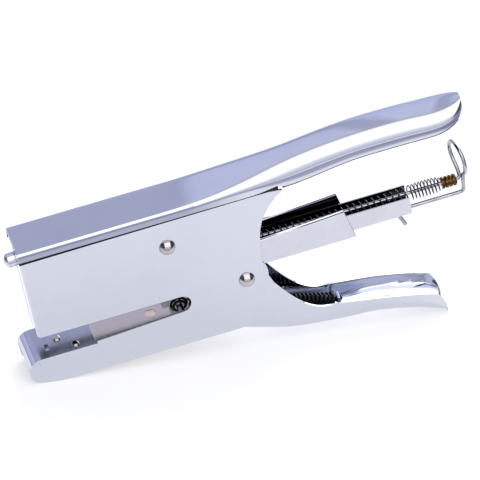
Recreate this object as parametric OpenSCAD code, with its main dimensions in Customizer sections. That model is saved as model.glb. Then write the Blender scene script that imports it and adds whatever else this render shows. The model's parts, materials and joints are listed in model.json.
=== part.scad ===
// Plier stapler: two long pressed handles, a deep throat and a staple magazine between them.
// Every piece is drawn in the head's own frame: x runs rearwards along the throat, z is square to
// it, y is the width and the origin is the nose at the cover flange's lower edge.
// standing() then tips the tool nose-down until the jaw's sole and the lower handle's end both
// stand on the ground, with the origin under the middle of the tool.

/* [Width stack] */
// Outer width of the top cover
cover_w = 21.6; // [20.6:0.2:24]
// Sheet thickness of the cover and upper handle
cover_t = 1.1; // [0.8:0.1:1.3]
// Sheet thickness of the side plates
plate_t = 1.1; // [0.8:0.1:1.3]
// Sheet thickness of the lever arms and lower handle
arm_t = 0.85; // [0.7:0.05:1]
// Sheet thickness of the magazine housing
housing_t = 0.6; // [0.4:0.05:0.7]
// Sheet thickness of the feeder channel
channel_t = 0.6; // [0.4:0.05:0.8]
// Gap where one fixed sheet laps another
lap_gap = 0.1; // [0.05:0.05:0.2]
// Side gap between sheets that move past each other
run_gap = 0.25; // [0.15:0.05:0.3]
// Radial clearance of a hole on its pin
pin_gap = 0.05; // [0.02:0.01:0.1]

/* [Head] */
// Height from the cover flange's lower edge down to the throat
head_h = 46.5; // [45:0.5:50]
// Lean of the front wall from square, in degrees
nose_rake = 2.5; // [0:0.5:3]
// Outside radius of the front bend
nose_bend_r = 2; // [1.5:0.1:2.5]
// Slit between the two front flanges
nose_slit = 1; // [0.5:0.1:2]
// Depth of the throat from the nose
throat_l = 72; // [69:0.5:73]
// Opening of the throat behind the anvil
throat_gap = 11; // [10.5:0.5:12]
// Opening of the throat at its rear end
throat_end_gap = 8.6; // [8:0.2:9]
// Depth of the lower jaw below the throat
jaw_h = 16.8; // [16:0.2:18]
// Reach of the lower jaw in front of the nose
jaw_reach = 4.9; // [4:0.1:5.5]
// Radius of the lower jaw's curved sole
sole_r = 45; // [40:1:50]
// Place of the sole's centre behind the nose
sole_x = 14; // [13:0.5:15]

/* [Rivets] */
// Place of the pivot behind the nose
pivot_x = 98.2; // [96:0.2:101]
// Depth of the pivot below the cover flange
pivot_drop = 47.4; // [46.4:0.2:48.4]
// Place of the cross rivet behind the nose
cross_x = 66; // [56:1:72]
// Depth of the cross rivet below the cover flange
cross_drop = 16; // [12:0.5:19]
// Shank diameter of the rivets
rivet_d = 5; // [4:0.1:5.4]
// Diameter of the domed rivet heads
head_d = 7.6; // [7:0.1:9]
// Height of the domed rivet heads
dome_h = 3; // [1.5:0.1:3.4]
// Outer diameter of the spacer tubes on the rivets
spacer_d = 7.4; // [6.8:0.2:8]
// Diameter of the nose stud's head
stud_d = 6.6; // [5.8:0.1:7.2]
// Reach of the nose stud in front of the nose
stud_l = 5.4; // [4.8:0.2:6.2]
// Shank diameter of the nose stud
stud_shank_d = 4; // [3:0.1:5]
// Depth of the nose stud's axis below the plates' top
stud_drop = 8; // [7:0.25:9]

/* [Upper handle] */
// Rise of the cover's top above its flange edge
cover_rise = 4.5; // [4:0.25:6]
// Outside radius of the cover's bends
cover_bend_r = 2; // [1.7:0.1:2.1]
// Length of the cover and upper handle
upper_l = 207.2; // [203:0.1:210]
// Where the top starts to climb
climb_x = 70; // [65:1:75]
// Where the top reaches its crest
crest_x = 165; // [160:1:170]
// Height of the crest above the flange edge
crest_h = 14.3; // [13.7:0.2:15.9]
// Half width of the flat ridge along the handle
ridge_half = 1.9; // [1.2:0.1:3]
// Rise of the handle's lower edge above the flange edge
hem_rise = 4.3; // [3.5:0.1:5]
// Height of the shell at the handle's end
upper_end_wall = 2.4; // [1.8:0.1:3]
// Half width of the handle's end
upper_end_half = 2.5; // [2:0.1:4]

/* [Lower handle] */
// Length of the lower handle behind the pivot
lower_l = 87.2; // [84:0.4:92]
// Fall of the handle's floor below the pivot at its front edge
floor_fall = 30.2; // [29.4:0.2:31]
// Slope of the handle's floor
floor_slope = 0.27; // [0.26:0.005:0.28]
// Extra fall of the floor where the end curls down
curl_fall = 0.4; // [0:0.1:1]
// Height of the wave along the handle's floor, low behind the plates and high under the palm
floor_wave = 2.2; // [1.5:0.1:2.6]
// Fall of the rim below the pivot beside the plates
rim_fall = 8.6; // [8:0.2:9.4]
// Drawing-in of the handle's sides behind the plates
neck_pinch = 0.8; // [0:0.1:1.2]
// Outside radius of the handle's bottom bends
grip_bend_r = 5; // [4.2:0.1:5.8]
// Half width of the handle's end
lower_end_half = 6; // [5:0.5:8]

/* [Lever, driver and anvil] */
// Swing of the lower handle, in degrees
lever_swing = 13; // [11:0.5:13]
// Place of the arm tips behind the nose
tip_x = 12.6; // [12.4:0.1:13.2]
// Height of the arm tips above the pivot
tip_rise = 27.4; // [26.4:0.2:28]
// Radius of the arm tips
tip_r = 2; // [1.7:0.1:2.2]
// Half depth of the lever arms
arm_half = 5.5; // [5:0.1:5.8]
// Radius of the arms' lobe round the pivot
lobe_r = 10.3; // [10:0.1:10.8]
// Place of the driver blade behind the nose
blade_x = 5.35; // [5.35:0.05:5.6]
// Thickness of the driver blade
blade_t = 0.8; // [0.6:0.05:0.9]
// Width of the driver blade
blade_w = 12.6; // [12:0.1:12.6]
// Height of the blade's edge above the pivot at rest
blade_rise = 11.6; // [11.4:0.1:12.2]
// Thickness of the anvil plate
anvil_t = 1; // [0.8:0.1:1.2]
// Length of the anvil plate behind the nose
anvil_l = 27; // [24:0.5:30]
// Depth of the anvil's side strips at their front
strip_h = 4.8; // [4:0.2:6]
// Diameter of the hole in the throat's floor
floor_hole_d = 4.7; // [3.5:0.1:5.5]
// Place of that hole behind the nose
floor_hole_x = 54.5; // [50:0.5:58]

/* [Magazine] */
// Swing of the magazine while the lever closes, in degrees
mag_swing = 8.3; // [7:0.1:8.3]
// Height of the magazine's floor above the pivot
mag_rise = 4; // [4:0.1:4.4]
// Height of the housing's walls
housing_h = 13; // [12.8:0.1:13.4]
// Rise of the housing's walls towards the rear end
housing_flare = 2.8; // [1:0.2:4]
// Length of the housing's floor behind the nose
housing_l = 150; // [145:0.5:152]
// Slant of the housing's rear end
housing_slant = 3.5; // [1:0.25:5]
// Width of the housing's rolled lips
lip_w = 1.3; // [0.8:0.1:1.5]
// Width of the feeder channel
channel_w = 9.6; // [9.2:0.1:9.8]
// Height of the feeder channel
channel_h = 9; // [8.4:0.1:9.2]
// Height of the channel's floor above the housing's bottom
channel_rise = 1.9; // [1.8:0.1:2.1]
// Rear end of the channel behind the nose
channel_end = 177; // [172:0.5:180]
// Pull of the feeder when the magazine is loaded
feeder_travel = 45; // [30:1:46]
// Travel of the staple pusher
pusher_travel = 50; // [40:1:51]
// Length of the staple pusher
pusher_l = 12; // [10:0.5:12.5]

/* [Pull wire and springs] */
// Diameter of the pull wire
wire_d = 1.9; // [1.5:0.1:1.9]
// Height of the guide rod above the magazine's bottom
rod_rise = 9.8; // [9.6:0.1:10]
// Depth of the wire's lower leg below the guide rod
leg_fall = 5.4; // [5:0.1:5.6]
// Place of the ring behind the nose
ring_x = 201.8; // [200:0.2:204]
// Radius of the finger ring at its wire's middle
ring_r = 7.8; // [7:0.1:8.2]
// Height of the ring's centre above the guide rod
ring_rise = 12.2; // [11.5:0.1:12.6]
// Turn of the ring about its upright axis
ring_turn = 10.5; // [0:0.5:14]
// Length of the brass sleeve on the guide rod
sleeve_l = 7; // [5:0.5:9]
// Outer diameter of the brass sleeve
sleeve_d = 5.4; // [4.6:0.1:6]
// Wire diameter of the pusher spring
feed_wire_d = 0.7; // [0.5:0.05:0.8]
// Coil diameter of the pusher spring, at the wire's middle
feed_coil_d = 6; // [5.4:0.1:6.2]
// Number of turns of the pusher spring
feed_turns = 57; // [40:1:58]
// Wire diameter of the return spring
pull_wire_d = 1.2; // [1:0.05:1.3]
// Coil diameter of the return spring, at the wire's middle
pull_coil_d = 5.2; // [4.4:0.1:5.6]
// Number of turns of the return spring
pull_turns = 32; // [24:1:33]

/* [Hidden] */
$fn = 64;
// Overlap of a cutting shape past the face that it opens
eps = 0.5;

// Half widths of the nested sheets, from the cover inwards
cover_out = cover_w / 2;
plate_out = cover_out - cover_t - lap_gap;
plate_in = plate_out - plate_t;
arm_out = plate_in - run_gap;
arm_in = arm_out - arm_t;
housing_out = arm_in - run_gap;
housing_in = housing_out - housing_t;
channel_out = channel_w / 2;
anvil_out = plate_out + lap_gap + anvil_t;

// Heights in the head's frame
pivot_z = -pivot_drop;
plate_top = cover_rise - cover_bend_r - lap_gap;
throat_top = -head_h;
jaw_top = throat_top - throat_gap;
jaw_bottom = jaw_top - jaw_h;
anvil_top = jaw_top - 0.4;
anvil_under = anvil_top - anvil_t;
mag_bottom = pivot_z + mag_rise;
mag_top = mag_bottom + housing_h;
channel_bottom = mag_bottom + channel_rise;
channel_top = channel_bottom + channel_h;
rod_z = mag_bottom + rod_rise;
tip_z = pivot_z + tip_rise;
blade_edge = pivot_z + blade_rise;

// Strokes that follow from the lever
tip_reach = norm([pivot_x - tip_x, tip_rise]);
tip_angle = atan2(tip_rise, pivot_x - tip_x);
driver_stroke = tip_rise - tip_reach * sin(tip_angle - lever_swing);
lost_angle = lever_swing - mag_swing;

// Route of the pull wire: guide rod, finger ring, lower leg and turned-down end
rod_front = 12;
hook_fall = 9;
hook_back = 3.4;
leg_y = -3;
leg_end = channel_end - 7;
wire_bend_r = 2;
ring_centre = [ring_x, 0, rod_z + ring_rise];
ring_open = 25;
ring_first = ring_at(ring_open);
ring_last = ring_at(360 - ring_open);
rod_corner = [ring_x, 0, rod_z];
leg_corner = [ring_x, leg_y, rod_z - leg_fall];
leg_tip = [leg_end, leg_y, rod_z - leg_fall];
wire_end = leg_tip + [hook_back, 0, -hook_fall];
wire_path = concat(
    [[rod_front, 0, rod_z], [ring_x - 3 * wire_bend_r, 0, rod_z]],
    elbow([ring_x - 3 * wire_bend_r, 0, rod_z], rod_corner, ring_first, wire_bend_r),
    [for (i = [0 : 24]) ring_at(mix(ring_open, 360 - ring_open, i / 24))],
    elbow(ring_last, leg_corner, leg_tip, wire_bend_r),
    elbow(leg_corner, leg_tip, wire_end, wire_bend_r),
    [wire_end]
);

// Standing pose: the jaw's sole and the end of the lower handle share the ground
sole_z = jaw_bottom + sole_r;
floor_front = -6.2;
curl_l = 14;
heel_x = pivot_x + lower_l;
heel_z = pivot_z - floor_at(lower_l);
tilt = atan2(sole_z - heel_z, heel_x - sole_x) - asin(sole_r / norm([heel_x - sole_x, sole_z - heel_z]));
stud_dome_r = stud_d * 0.62;
stud_centre = nose_point(-stud_l + stud_dome_r, -stud_drop);
row_low = to_row([heel_x, heel_z])[1];
row_front = to_row(stud_centre)[0] - stud_dome_r;
row_back = max([for (p = wire_path) to_row([p[0], p[2]])[0]]) + wire_d / 2 * cos(tilt);
row_shift = [-(row_front + row_back) / 2, 0, -row_low];

// Turn a point of the head's frame into the standing frame, before the shift to the origin
function to_row(p) = [p[0] * cos(tilt) - p[1] * sin(tilt), p[0] * sin(tilt) + p[1] * cos(tilt)];
function row_point(p) = [to_row(p)[0] + row_shift[0], to_row(p)[1] + row_shift[2]];
// A point measured along and down the leaning front wall
function nose_point(x, z) = [
    x * cos(nose_rake) - z * sin(nose_rake),
    plate_top + x * sin(nose_rake) + z * cos(nose_rake)
];

// Curves
function unit(v) = v / norm(v);
function clamp01(t) = min(max(t, 0), 1);
function ease(x, x0, x1) = let (t = clamp01((x - x0) / (x1 - x0))) t * t * (3 - 2 * t);
function mix(a, b, t) = a + (b - a) * t;
function hermite(t, p0, m0, p1, m1) =
    (1 + 2 * t) * (1 - t) * (1 - t) * p0 + t * (1 - t) * (1 - t) * m0
    + t * t * (3 - 2 * t) * p1 + t * t * (t - 1) * m1;
function bezier(a, b, c, d, steps) = [
    for (i = [1 : steps]) let (t = i / steps, s = 1 - t)
        s * s * s * a + 3 * s * s * t * b + 3 * s * t * t * c + t * t * t * d
];
// Rounded corner at b on the way from a to c
function elbow(a, b, c, r) = [
    for (i = [0 : 4])
        let (
            t = i / 4,
            p = b + r * unit(a - b),
            q = b + r * unit(c - b)
        )
        (1 - t) * (1 - t) * p + 2 * t * (1 - t) * b + t * t * q
];
function ring_at(a) =
    ring_centre + ring_r * [-sin(a) * sin(ring_turn), sin(a) * cos(ring_turn), -cos(a)];
function arc(c, r, from, to, steps) = [
    for (i = [0 : steps]) let (a = mix(from, to, i / steps)) c + r * [cos(a), sin(a)]
];

// Fall of the lower handle's floor and rim below the pivot, at u behind the pivot
function floor_at(u) =
    floor_fall + floor_slope * (u - floor_front)
    + floor_wave * sin(360 * (u - floor_front) / (lower_l - floor_front))
    + curl_fall * pow(max(u - lower_l + curl_l, 0) / curl_l, 2);
rim_start = 12.4;
rim_run = 21.6;
rim_low = 21.9;
rim_steep = 1.75;
rim_slope = 0.1;
rim_sag = 0.0024;
end_lip = 1.6;
end_run = 6;
function rim_body(u) =
    u < rim_start ? rim_fall
    : u < rim_start + rim_run
        ? rim_fall + hermite((u - rim_start) / rim_run, 0, rim_steep * rim_run, rim_low, rim_slope * rim_run)
        : let (v = u - rim_start - rim_run) rim_fall + rim_low + rim_slope * v + rim_sag * v * v;
function rim_at(u) =
    let (t = clamp01((u - lower_l + end_run) / end_run))
    mix(rim_body(u), floor_at(u) - end_lip, 1 - sqrt(1 - t * t * 0.999));

// Move into the standing frame
module standing() {
    translate(row_shift) rotate([0, -tilt, 0]) children();
}

// Lean with the front wall, from the plates' top edge
module leaning() {
    translate([0, 0, plate_top]) rotate([0, -nose_rake, 0]) children();
}

// Turn about the pivot, nose up
module nose_up(angle) {
    translate([pivot_x, 0, pivot_z]) rotate([0, angle, 0]) translate([-pivot_x, 0, -pivot_z]) children();
}

// Extrude a side outline across the width, from y0 to y1
module sheet(y0, y1) {
    translate([0, y1, 0]) rotate([90, 0, 0]) linear_extrude(y1 - y0) children();
}

// A round bar across the width
module cross_bar(x, z, r, y0, y1) {
    translate([x, y0, z]) rotate([-90, 0, 0]) cylinder(r = r, h = y1 - y0);
}

// Round wire along a path, as one unbroken tube whose rings turn without twist
function path_dir(p, i) = unit(p[min(i + 1, len(p) - 1)] - p[max(i - 1, 0)]);
function carry(v, t) = unit(v - (v * t) * t);
function frames(p, i, v) =
    let (u = carry(v, path_dir(p, i)))
    i == len(p) - 1 ? [u] : concat([u], frames(p, i + 1, u));
module tube(path, r, sides) {
    count = len(path);
    ups = frames(path, 0, [0, 0.1, 1]);
    pts = [
        for (i = [0 : count - 1])
            let (up = ups[i], side = cross(path_dir(path, i), up))
            each [for (s = [0 : sides - 1]) let (a = 360 * s / sides) path[i] + r * (cos(a) * up + sin(a) * side)]
    ];
    polyhedron(points = pts, faces = tube_faces(count, sides));
}
// Triangle faces of a tube of rings, closed at both ends
function tube_faces(count, sides) =
    let (end = (count - 1) * sides)
    concat(
        [
            for (i = [0 : count - 2], s = [0 : sides - 1])
                let (a = i * sides + s, b = i * sides + (s + 1) % sides)
                    each [[a, b + sides, b], [a, a + sides, b + sides]]
        ],
        [for (s = [1 : sides - 2]) each [[0, s, s + 1], [end, end + s + 1, end + s]]]
    );

// The same piece on the other side of the tool
module both_sides() {
    children();
    mirror([0, 1, 0]) children();
}

// Shell lofted through open sections, each a run of outer points and the matching inner points
function shell_points(outer, inner) = [
    for (j = [0 : len(outer) - 1])
        each concat(outer[j], [for (k = [len(inner[j]) - 1 : -1 : 0]) inner[j][k]])
];
module loft_shell(outer, inner) {
    stations = len(outer);
    m = len(outer[0]);
    n = 2 * m;
    last = (stations - 1) * n;
    sides = [
        for (j = [0 : stations - 2], i = [0 : n - 1])
            let (a = j * n + i, b = j * n + (i + 1) % n)
                each [[a, b, b + n], [a, b + n, a + n]]
    ];
    first_cap = [
        for (k = [0 : m - 2]) each [[k, n - 1 - k, n - 2 - k], [k, n - 2 - k, k + 1]]
    ];
    last_cap = [
        for (k = [0 : m - 2])
            each [[last + k, last + k + 1, last + n - 2 - k], [last + k, last + n - 2 - k, last + n - 1 - k]]
    ];
    polyhedron(points = shell_points(outer, inner), faces = concat(sides, first_cap, last_cap));
}

// Helical spring as one unbroken tube along +x, with ends that run straight for one wire diameter
rings_per_turn = 8;
tube_sides = 6;
function coil_path(length, coil_r, wire, turns) =
    let (rings = turns * rings_per_turn, run = length - 2 * wire)
    concat(
        [[0, 0]],
        [for (i = [0 : rings]) [wire + run * i / rings, 360 * i / rings_per_turn]],
        [[length, 360 * turns]]
    );
function coil_point(c, coil_r) = [c[0], coil_r * cos(c[1]), coil_r * sin(c[1])];
module coil(length, coil_r, wire, turns) {
    path = coil_path(length, coil_r, wire, turns);
    count = len(path);
    pts = [
        for (i = [0 : count - 1])
            let (
                c = path[i],
                here = coil_point(c, coil_r),
                straight = i == 0 || i == count - 1,
                ahead = coil_point(path[min(i + 1, count - 1)], coil_r),
                behind = coil_point(path[max(i - 1, 0)], coil_r),
                along = straight ? [1, 0, 0] : unit(ahead - behind),
                outward = [0, cos(c[1]), sin(c[1])],
                across = unit(cross(along, outward))
            )
            each [
                for (s = [0 : tube_sides - 1])
                    let (a = 360 * s / tube_sides) here + wire / 2 * (cos(a) * outward + sin(a) * across)
            ]
    ];
    polyhedron(points = pts, faces = tube_faces(count, tube_sides));
}
// Least gap between a turn and the turns after it, measured on the path's points
function coil_gap(length, coil_r, wire, turns) =
    let (path = coil_path(length, coil_r, wire, turns), count = len(path))
    min([
        for (i = [0 : count - 1], j = [i + rings_per_turn / 2 : min(i + 2 * rings_per_turn, count - 1)])
            norm(coil_point(path[i], coil_r) - coil_point(path[j], coil_r))
    ]) - wire;

// Side plates
back_x = pivot_x + 8.1;
floor_edge_x = anvil_l + 0.5;
slot_end_r = throat_end_gap / 2;
slot_end = [throat_l - slot_end_r, throat_top - slot_end_r];
plate_tip = [pivot_x + 22.8, -2.5];
plate_foot = [pivot_x - 6.2, jaw_bottom];
toe_lean = 1;
toe_corner = 2;
sole_start = 180 + acos((sole_x + jaw_reach - toe_lean - toe_corner) / sole_r);
toe_top = sole_z + sole_r * sin(sole_start) + toe_corner;
function front_line(depth, z) = depth / cos(nose_rake) + (plate_top - z) * tan(nose_rake);
function plate_outline() = concat(
    [[front_line(0, plate_top), plate_top], [front_line(0, throat_top), throat_top]],
    arc(slot_end, slot_end_r, 90, -85, 12),
    [[floor_edge_x, jaw_top], [floor_edge_x, web_top]],
    arc(lip_centre, lip_r - anvil_t - lap_gap, 90, lip_stop, 6),
    [lip_centre + (lip_r + lap_gap) * [cos(lip_stop), sin(lip_stop)], [toe_lean - jaw_reach, toe_top]],
    arc([sole_x, sole_z], sole_r, sole_start, 270, 8),
    [plate_foot],
    bezier(plate_foot, [pivot_x + 3, jaw_bottom + 2.5], [back_x - 0.5, pivot_z - 13],
        [back_x, pivot_z - 2.6], 7),
    bezier([back_x, pivot_z - 2.6], [back_x + 0.3, pivot_z + 6], [back_x, pivot_z + 14],
        [back_x + 1.1, pivot_z + 22], 5),
    bezier([back_x + 1.1, pivot_z + 22], [back_x + 2.3, pivot_z + 31], [back_x + 6.2, pivot_z + 38.5],
        plate_tip, 6),
    [[pivot_x + 12.8, -0.8], [pivot_x + 2, plate_top]]
);
// Space behind the front flange and inside the plate
cut_margin = 5;
cut_low = throat_top - 3;
function inner_space() = [
    [front_line(plate_t, plate_top + cut_margin), plate_top + cut_margin],
    [front_line(plate_t, cut_low), cut_low],
    [-4 * cut_margin, cut_low],
    [-4 * cut_margin, jaw_bottom - cut_margin],
    [plate_tip[0] + cut_margin, jaw_bottom - cut_margin],
    [plate_tip[0] + cut_margin, plate_top + cut_margin]
];
// What the front bend leaves of the square corner
function bend_waste() =
    let (bend = arc([nose_bend_r, plate_out - nose_bend_r], nose_bend_r, 180, 90, 6))
    concat(
        [3 * bend[0] - 2 * bend[1]],
        [for (i = [1 : 5]) bend[i]],
        [3 * bend[6] - 2 * bend[5], [-cut_margin, plate_out + cut_margin]]
    );
module side_plate() {
    difference() {
        sheet(nose_slit / 2, plate_out) polygon(plate_outline());
        sheet(0, plate_in) polygon(inner_space());
        leaning()
            translate([0, 0, cut_low - plate_top])
                linear_extrude(plate_top - cut_low + cut_margin) polygon(bend_waste());
        cross_bar(pivot_x, pivot_z, rivet_d / 2 + pin_gap, 0, cover_w);
        cross_bar(cross_x, -cross_drop, rivet_d / 2 + pin_gap, 0, cover_w);
        leaning()
            translate([-eps, 0, -stud_drop])
                rotate([0, 90, 0]) cylinder(r = stud_shank_d / 2 + pin_gap, h = plate_t + 2 * eps);
    }
}
module side_plate_left() {
    color("gainsboro") standing() side_plate();
}
module side_plate_right() {
    color("gainsboro") standing() mirror([0, 1, 0]) side_plate();
}

// Cover and upper handle, one pressed shell
droop = 0.0027;
hem_sag = 0.0011;
tip_flare = 3;
flare_l = 20;
function top_at(x) =
    mix(cover_rise, crest_h, ease(x, climb_x, crest_x))
    - droop * pow(max(x - crest_x - 6, 0), 2)
    + tip_flare * pow(clamp01((x - upper_l + flare_l) / flare_l), 2);
plan_l = 15.5;
hem_end_l = 20;
function end_share(x) = clamp01((x - upper_l + plan_l) / plan_l);
function hem_end_share(x) =
    let (t = clamp01((x - upper_l + hem_end_l) / hem_end_l)) 1 - sqrt(1 - 0.999 * t * t);
function hem_line(x) =
    mix(
        hem_rise * ease(x, climb_x + 50, crest_x - 5) - hem_sag * pow(max(x - crest_x - 7, 0), 2),
        top_at(x) - upper_end_wall,
        hem_end_share(x)
    );
// Nick in the hem above the plates' rear tips
nick_x = 119;
nick_l = 10;
nick_back = 2;
nick_h = 1.6;
function hem_at(x) =
    hem_line(x)
    + nick_h * clamp01(x < nick_x ? (x - nick_x + nick_l) / nick_l : 1 - (x - nick_x) / nick_back);
function half_at(x) = mix(upper_end_half, cover_out, sqrt(1 - 0.98 * pow(end_share(x), 2)));
function flat_at(x) =
    mix(cover_out - cover_bend_r, ridge_half, ease(x, climb_x - 8, crest_x - 33)) * half_at(x) / cover_out;
function corner_at(x) =
    mix(cover_bend_r, 0.86 * (top_at(x) - hem_line(x)), ease(x, climb_x + 2, crest_x - 30));
corner_steps = 6;
// Arch section from the left hem over the top to the right hem, drawn in by the given amount
function arch(x, inset) =
    let (
        f = flat_at(x),
        c = corner_at(x),
        w = half_at(x) - f - inset,
        h = c - inset,
        base = top_at(x) - c,
        quarter = [for (i = [0 : corner_steps]) let (a = 90 * i / corner_steps) [f + w * cos(a), base + h * sin(a)]]
    )
    concat(
        [[x, -f - w, hem_at(x)]],
        [for (p = quarter) [x, -p[0], p[1]]],
        [for (i = [corner_steps : -1 : 0]) [x, quarter[i][0], quarter[i][1]]],
        [[x, f + w, hem_at(x)]]
    );
upper_stations = concat(
    [0],
    [for (i = [0 : 7]) mix(climb_x - 10, nick_x - nick_l, i / 7)],
    [nick_x - nick_l / 2, nick_x, nick_x + nick_back],
    [for (i = [1 : 10]) mix(nick_x + nick_back, upper_l - hem_end_l, i / 10)],
    [for (i = [1 : 8]) upper_l - hem_end_l * (1 - sin(11.25 * i))]
);
module upper_handle() {
    color("lavender") standing()
        loft_shell(
            [for (x = upper_stations) arch(x, 0)],
            [for (x = upper_stations) arch(x, cover_t)]
        );
}

// Block behind the front wall, and the stud that it holds
block_l = 5;
block_h = 10;
block_drop = 2.5;
module nose_block() {
    color("silver") standing() leaning() difference() {
        translate([plate_t, -plate_in, -block_drop - block_h]) cube([block_l, 2 * plate_in, block_h]);
        translate([plate_t - eps, 0, -stud_drop])
            rotate([0, 90, 0]) cylinder(r = stud_shank_d / 2 + pin_gap, h = block_l + 2 * eps);
    }
}
module nose_stud() {
    color("whitesmoke") standing() leaning() translate([0, 0, -stud_drop]) rotate([0, 90, 0]) {
        intersection() {
            translate([0, 0, -stud_l]) cylinder(r = stud_d / 2, h = stud_l);
            translate([0, 0, stud_dome_r - stud_l]) sphere(r = stud_dome_r);
        }
        cylinder(r = stud_shank_d / 2, h = plate_t + block_l);
    }
}

// Domed rivet across both plates
module dome() {
    r = (pow(head_d / 2, 2) + dome_h * dome_h) / (2 * dome_h);
    translate([0, plate_out, 0]) rotate([-90, 0, 0]) intersection() {
        translate([0, 0, dome_h - r]) sphere(r = r);
        cylinder(r = head_d, h = head_d);
    }
}
module domed_rivet(x, z) {
    translate([x, 0, z]) {
        both_sides() dome();
        cross_bar(0, 0, rivet_d / 2, -plate_out, plate_out);
    }
}
module spacer(x, z, half) {
    difference() {
        cross_bar(x, z, spacer_d / 2, -half, half);
        cross_bar(x, z, rivet_d / 2 + pin_gap, -half - eps, half + eps);
    }
}
module cross_rivet() {
    color("whitesmoke") standing() domed_rivet(cross_x, -cross_drop);
}
module cross_spacer() {
    color("silver") standing() spacer(cross_x, -cross_drop, plate_in);
}
module pivot_rivet() {
    color("whitesmoke") standing() domed_rivet(pivot_x, pivot_z);
}
module pivot_spacer() {
    color("silver") standing() spacer(pivot_x, pivot_z, housing_in - lap_gap);
}

// Front curl of the anvil, an arc that turns down over the jaw's front
lip_r = 6.4;
lip_turn = 72;
lip_stop = 90 + lip_turn + 1.2;
lip_centre = [lip_r - jaw_reach, anvil_top - lip_r];

// Channel that stiffens the lower jaw, with the throat's floor as its web
web_t = 1;
web_top = anvil_under - lap_gap;
web_front = lip_centre[0] + lap_gap;
web_back = throat_l - 9;
flange_depth = 12;
notch_l = 2.5;
notch_w = 8;
anvil_rivet_r = 0.9;
anvil_rivet_places = [[18.1, 6.9], [18.1, -6.9], [11.2, 0]];
flange_front = anvil_rivet_places[0][0] + 3;
flange_back = web_back - 4;
module at_anvil_rivets(z) {
    for (place = anvil_rivet_places) translate([place[0], place[1], z]) children();
}
module anvil_rivet_holes() {
    at_anvil_rivets(web_top - web_t - eps)
        cylinder(r = anvil_rivet_r + pin_gap, h = web_t + anvil_t + lap_gap + 2 * eps);
}
module jaw_channel() {
    color("rosybrown") standing() difference() {
        union() {
            translate([web_front, -plate_in, web_top - web_t])
                cube([web_back - web_front, 2 * plate_in, web_t]);
            both_sides()
                translate([flange_front, plate_in - web_t, web_top - flange_depth])
                    cube([flange_back - flange_front, web_t, flange_depth]);
        }
        translate([floor_hole_x, 0, web_top - web_t - eps]) cylinder(d = floor_hole_d, h = web_t + 2 * eps);
        translate([web_back - notch_l, plate_in - notch_w, web_top - web_t - eps])
            cube([notch_l + eps, notch_w + eps, web_t + 2 * eps]);
        anvil_rivet_holes();
    }
}

// Anvil: a plate with a lip that curls down over the jaw's front and strips down its sides
strip_front = 0.6;
strip_back_h = 2.4;
pocket_r = 4.5;
pocket_depth = 0.6;
pocket_y = 3.9;
pocket_l = 1.7;
function anvil_profile() = concat(
    arc(lip_centre, lip_r, 90, 90 + lip_turn, 8),
    arc(lip_centre, lip_r - anvil_t, 90 + lip_turn, 90, 8),
    [[anvil_l, anvil_under], [anvil_l, anvil_top]]
);
function strip_outline() = [
    [strip_front, anvil_under + anvil_t / 2], [strip_front, anvil_top - strip_h],
    [anvil_l, anvil_top - strip_back_h], [anvil_l, anvil_under + anvil_t / 2]
];
module anvil() {
    color("slategray") standing() difference() {
        union() {
            sheet(-anvil_out, anvil_out) polygon(anvil_profile());
            both_sides() sheet(plate_out + lap_gap, anvil_out) polygon(strip_outline());
        }
        both_sides()
            translate([blade_x + blade_t / 2 - pocket_l / 2, pocket_y, anvil_top + pocket_r - pocket_depth])
                rotate([0, 90, 0]) cylinder(r = pocket_r, h = pocket_l);
        anvil_rivet_holes();
    }
}
module anvil_rivets() {
    head_r = 2;
    head_t = 1;
    foot_r = 1.4;
    color("whitesmoke") standing() {
        at_anvil_rivets(web_top - web_t)
            cylinder(r = anvil_rivet_r, h = anvil_top - web_top + web_t);
        at_anvil_rivets(anvil_top) cylinder(r1 = head_r, r2 = foot_r, h = head_t);
        at_anvil_rivets(web_top - web_t - head_t) cylinder(r = foot_r, h = head_t);
    }
}

// Return spring between a pin behind the throat and a tab in the lower handle
spring_pin_r = 1.5;
anchor = [throat_l - 4.2, throat_top - slot_end_r - 8.4];
tab_u = 40.3;
tab_t = 1.2;
tab_half = 2.2;
tab_h = 9;
hook_rise = 6.8;
tab_floor = pivot_z - floor_at(tab_u) + arm_t * 1.1;
hook = [pivot_x + tab_u - tab_t / 2, tab_floor + hook_rise];
spring_angle = atan2(hook[1] - anchor[1], hook[0] - anchor[0]);
spring_l = norm(hook - anchor) - spring_pin_r - lap_gap - tab_t;
module spring_pin() {
    color("silver") standing() cross_bar(anchor[0], anchor[1], spring_pin_r, -plate_in, plate_in);
}
module spring_tab() {
    color("gainsboro") standing()
        translate([pivot_x + tab_u - tab_t / 2, -tab_half, tab_floor + lap_gap + tab_t * floor_slope])
            cube([tab_t, 2 * tab_half, tab_h]);
}
module return_spring() {
    color("dimgray") standing()
        translate([anchor[0], 0, anchor[1]]) rotate([0, -spring_angle, 0])
            translate([spring_pin_r + lap_gap, 0, 0])
                coil(spring_l, pull_coil_d / 2, pull_wire_d, pull_turns);
}

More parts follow.
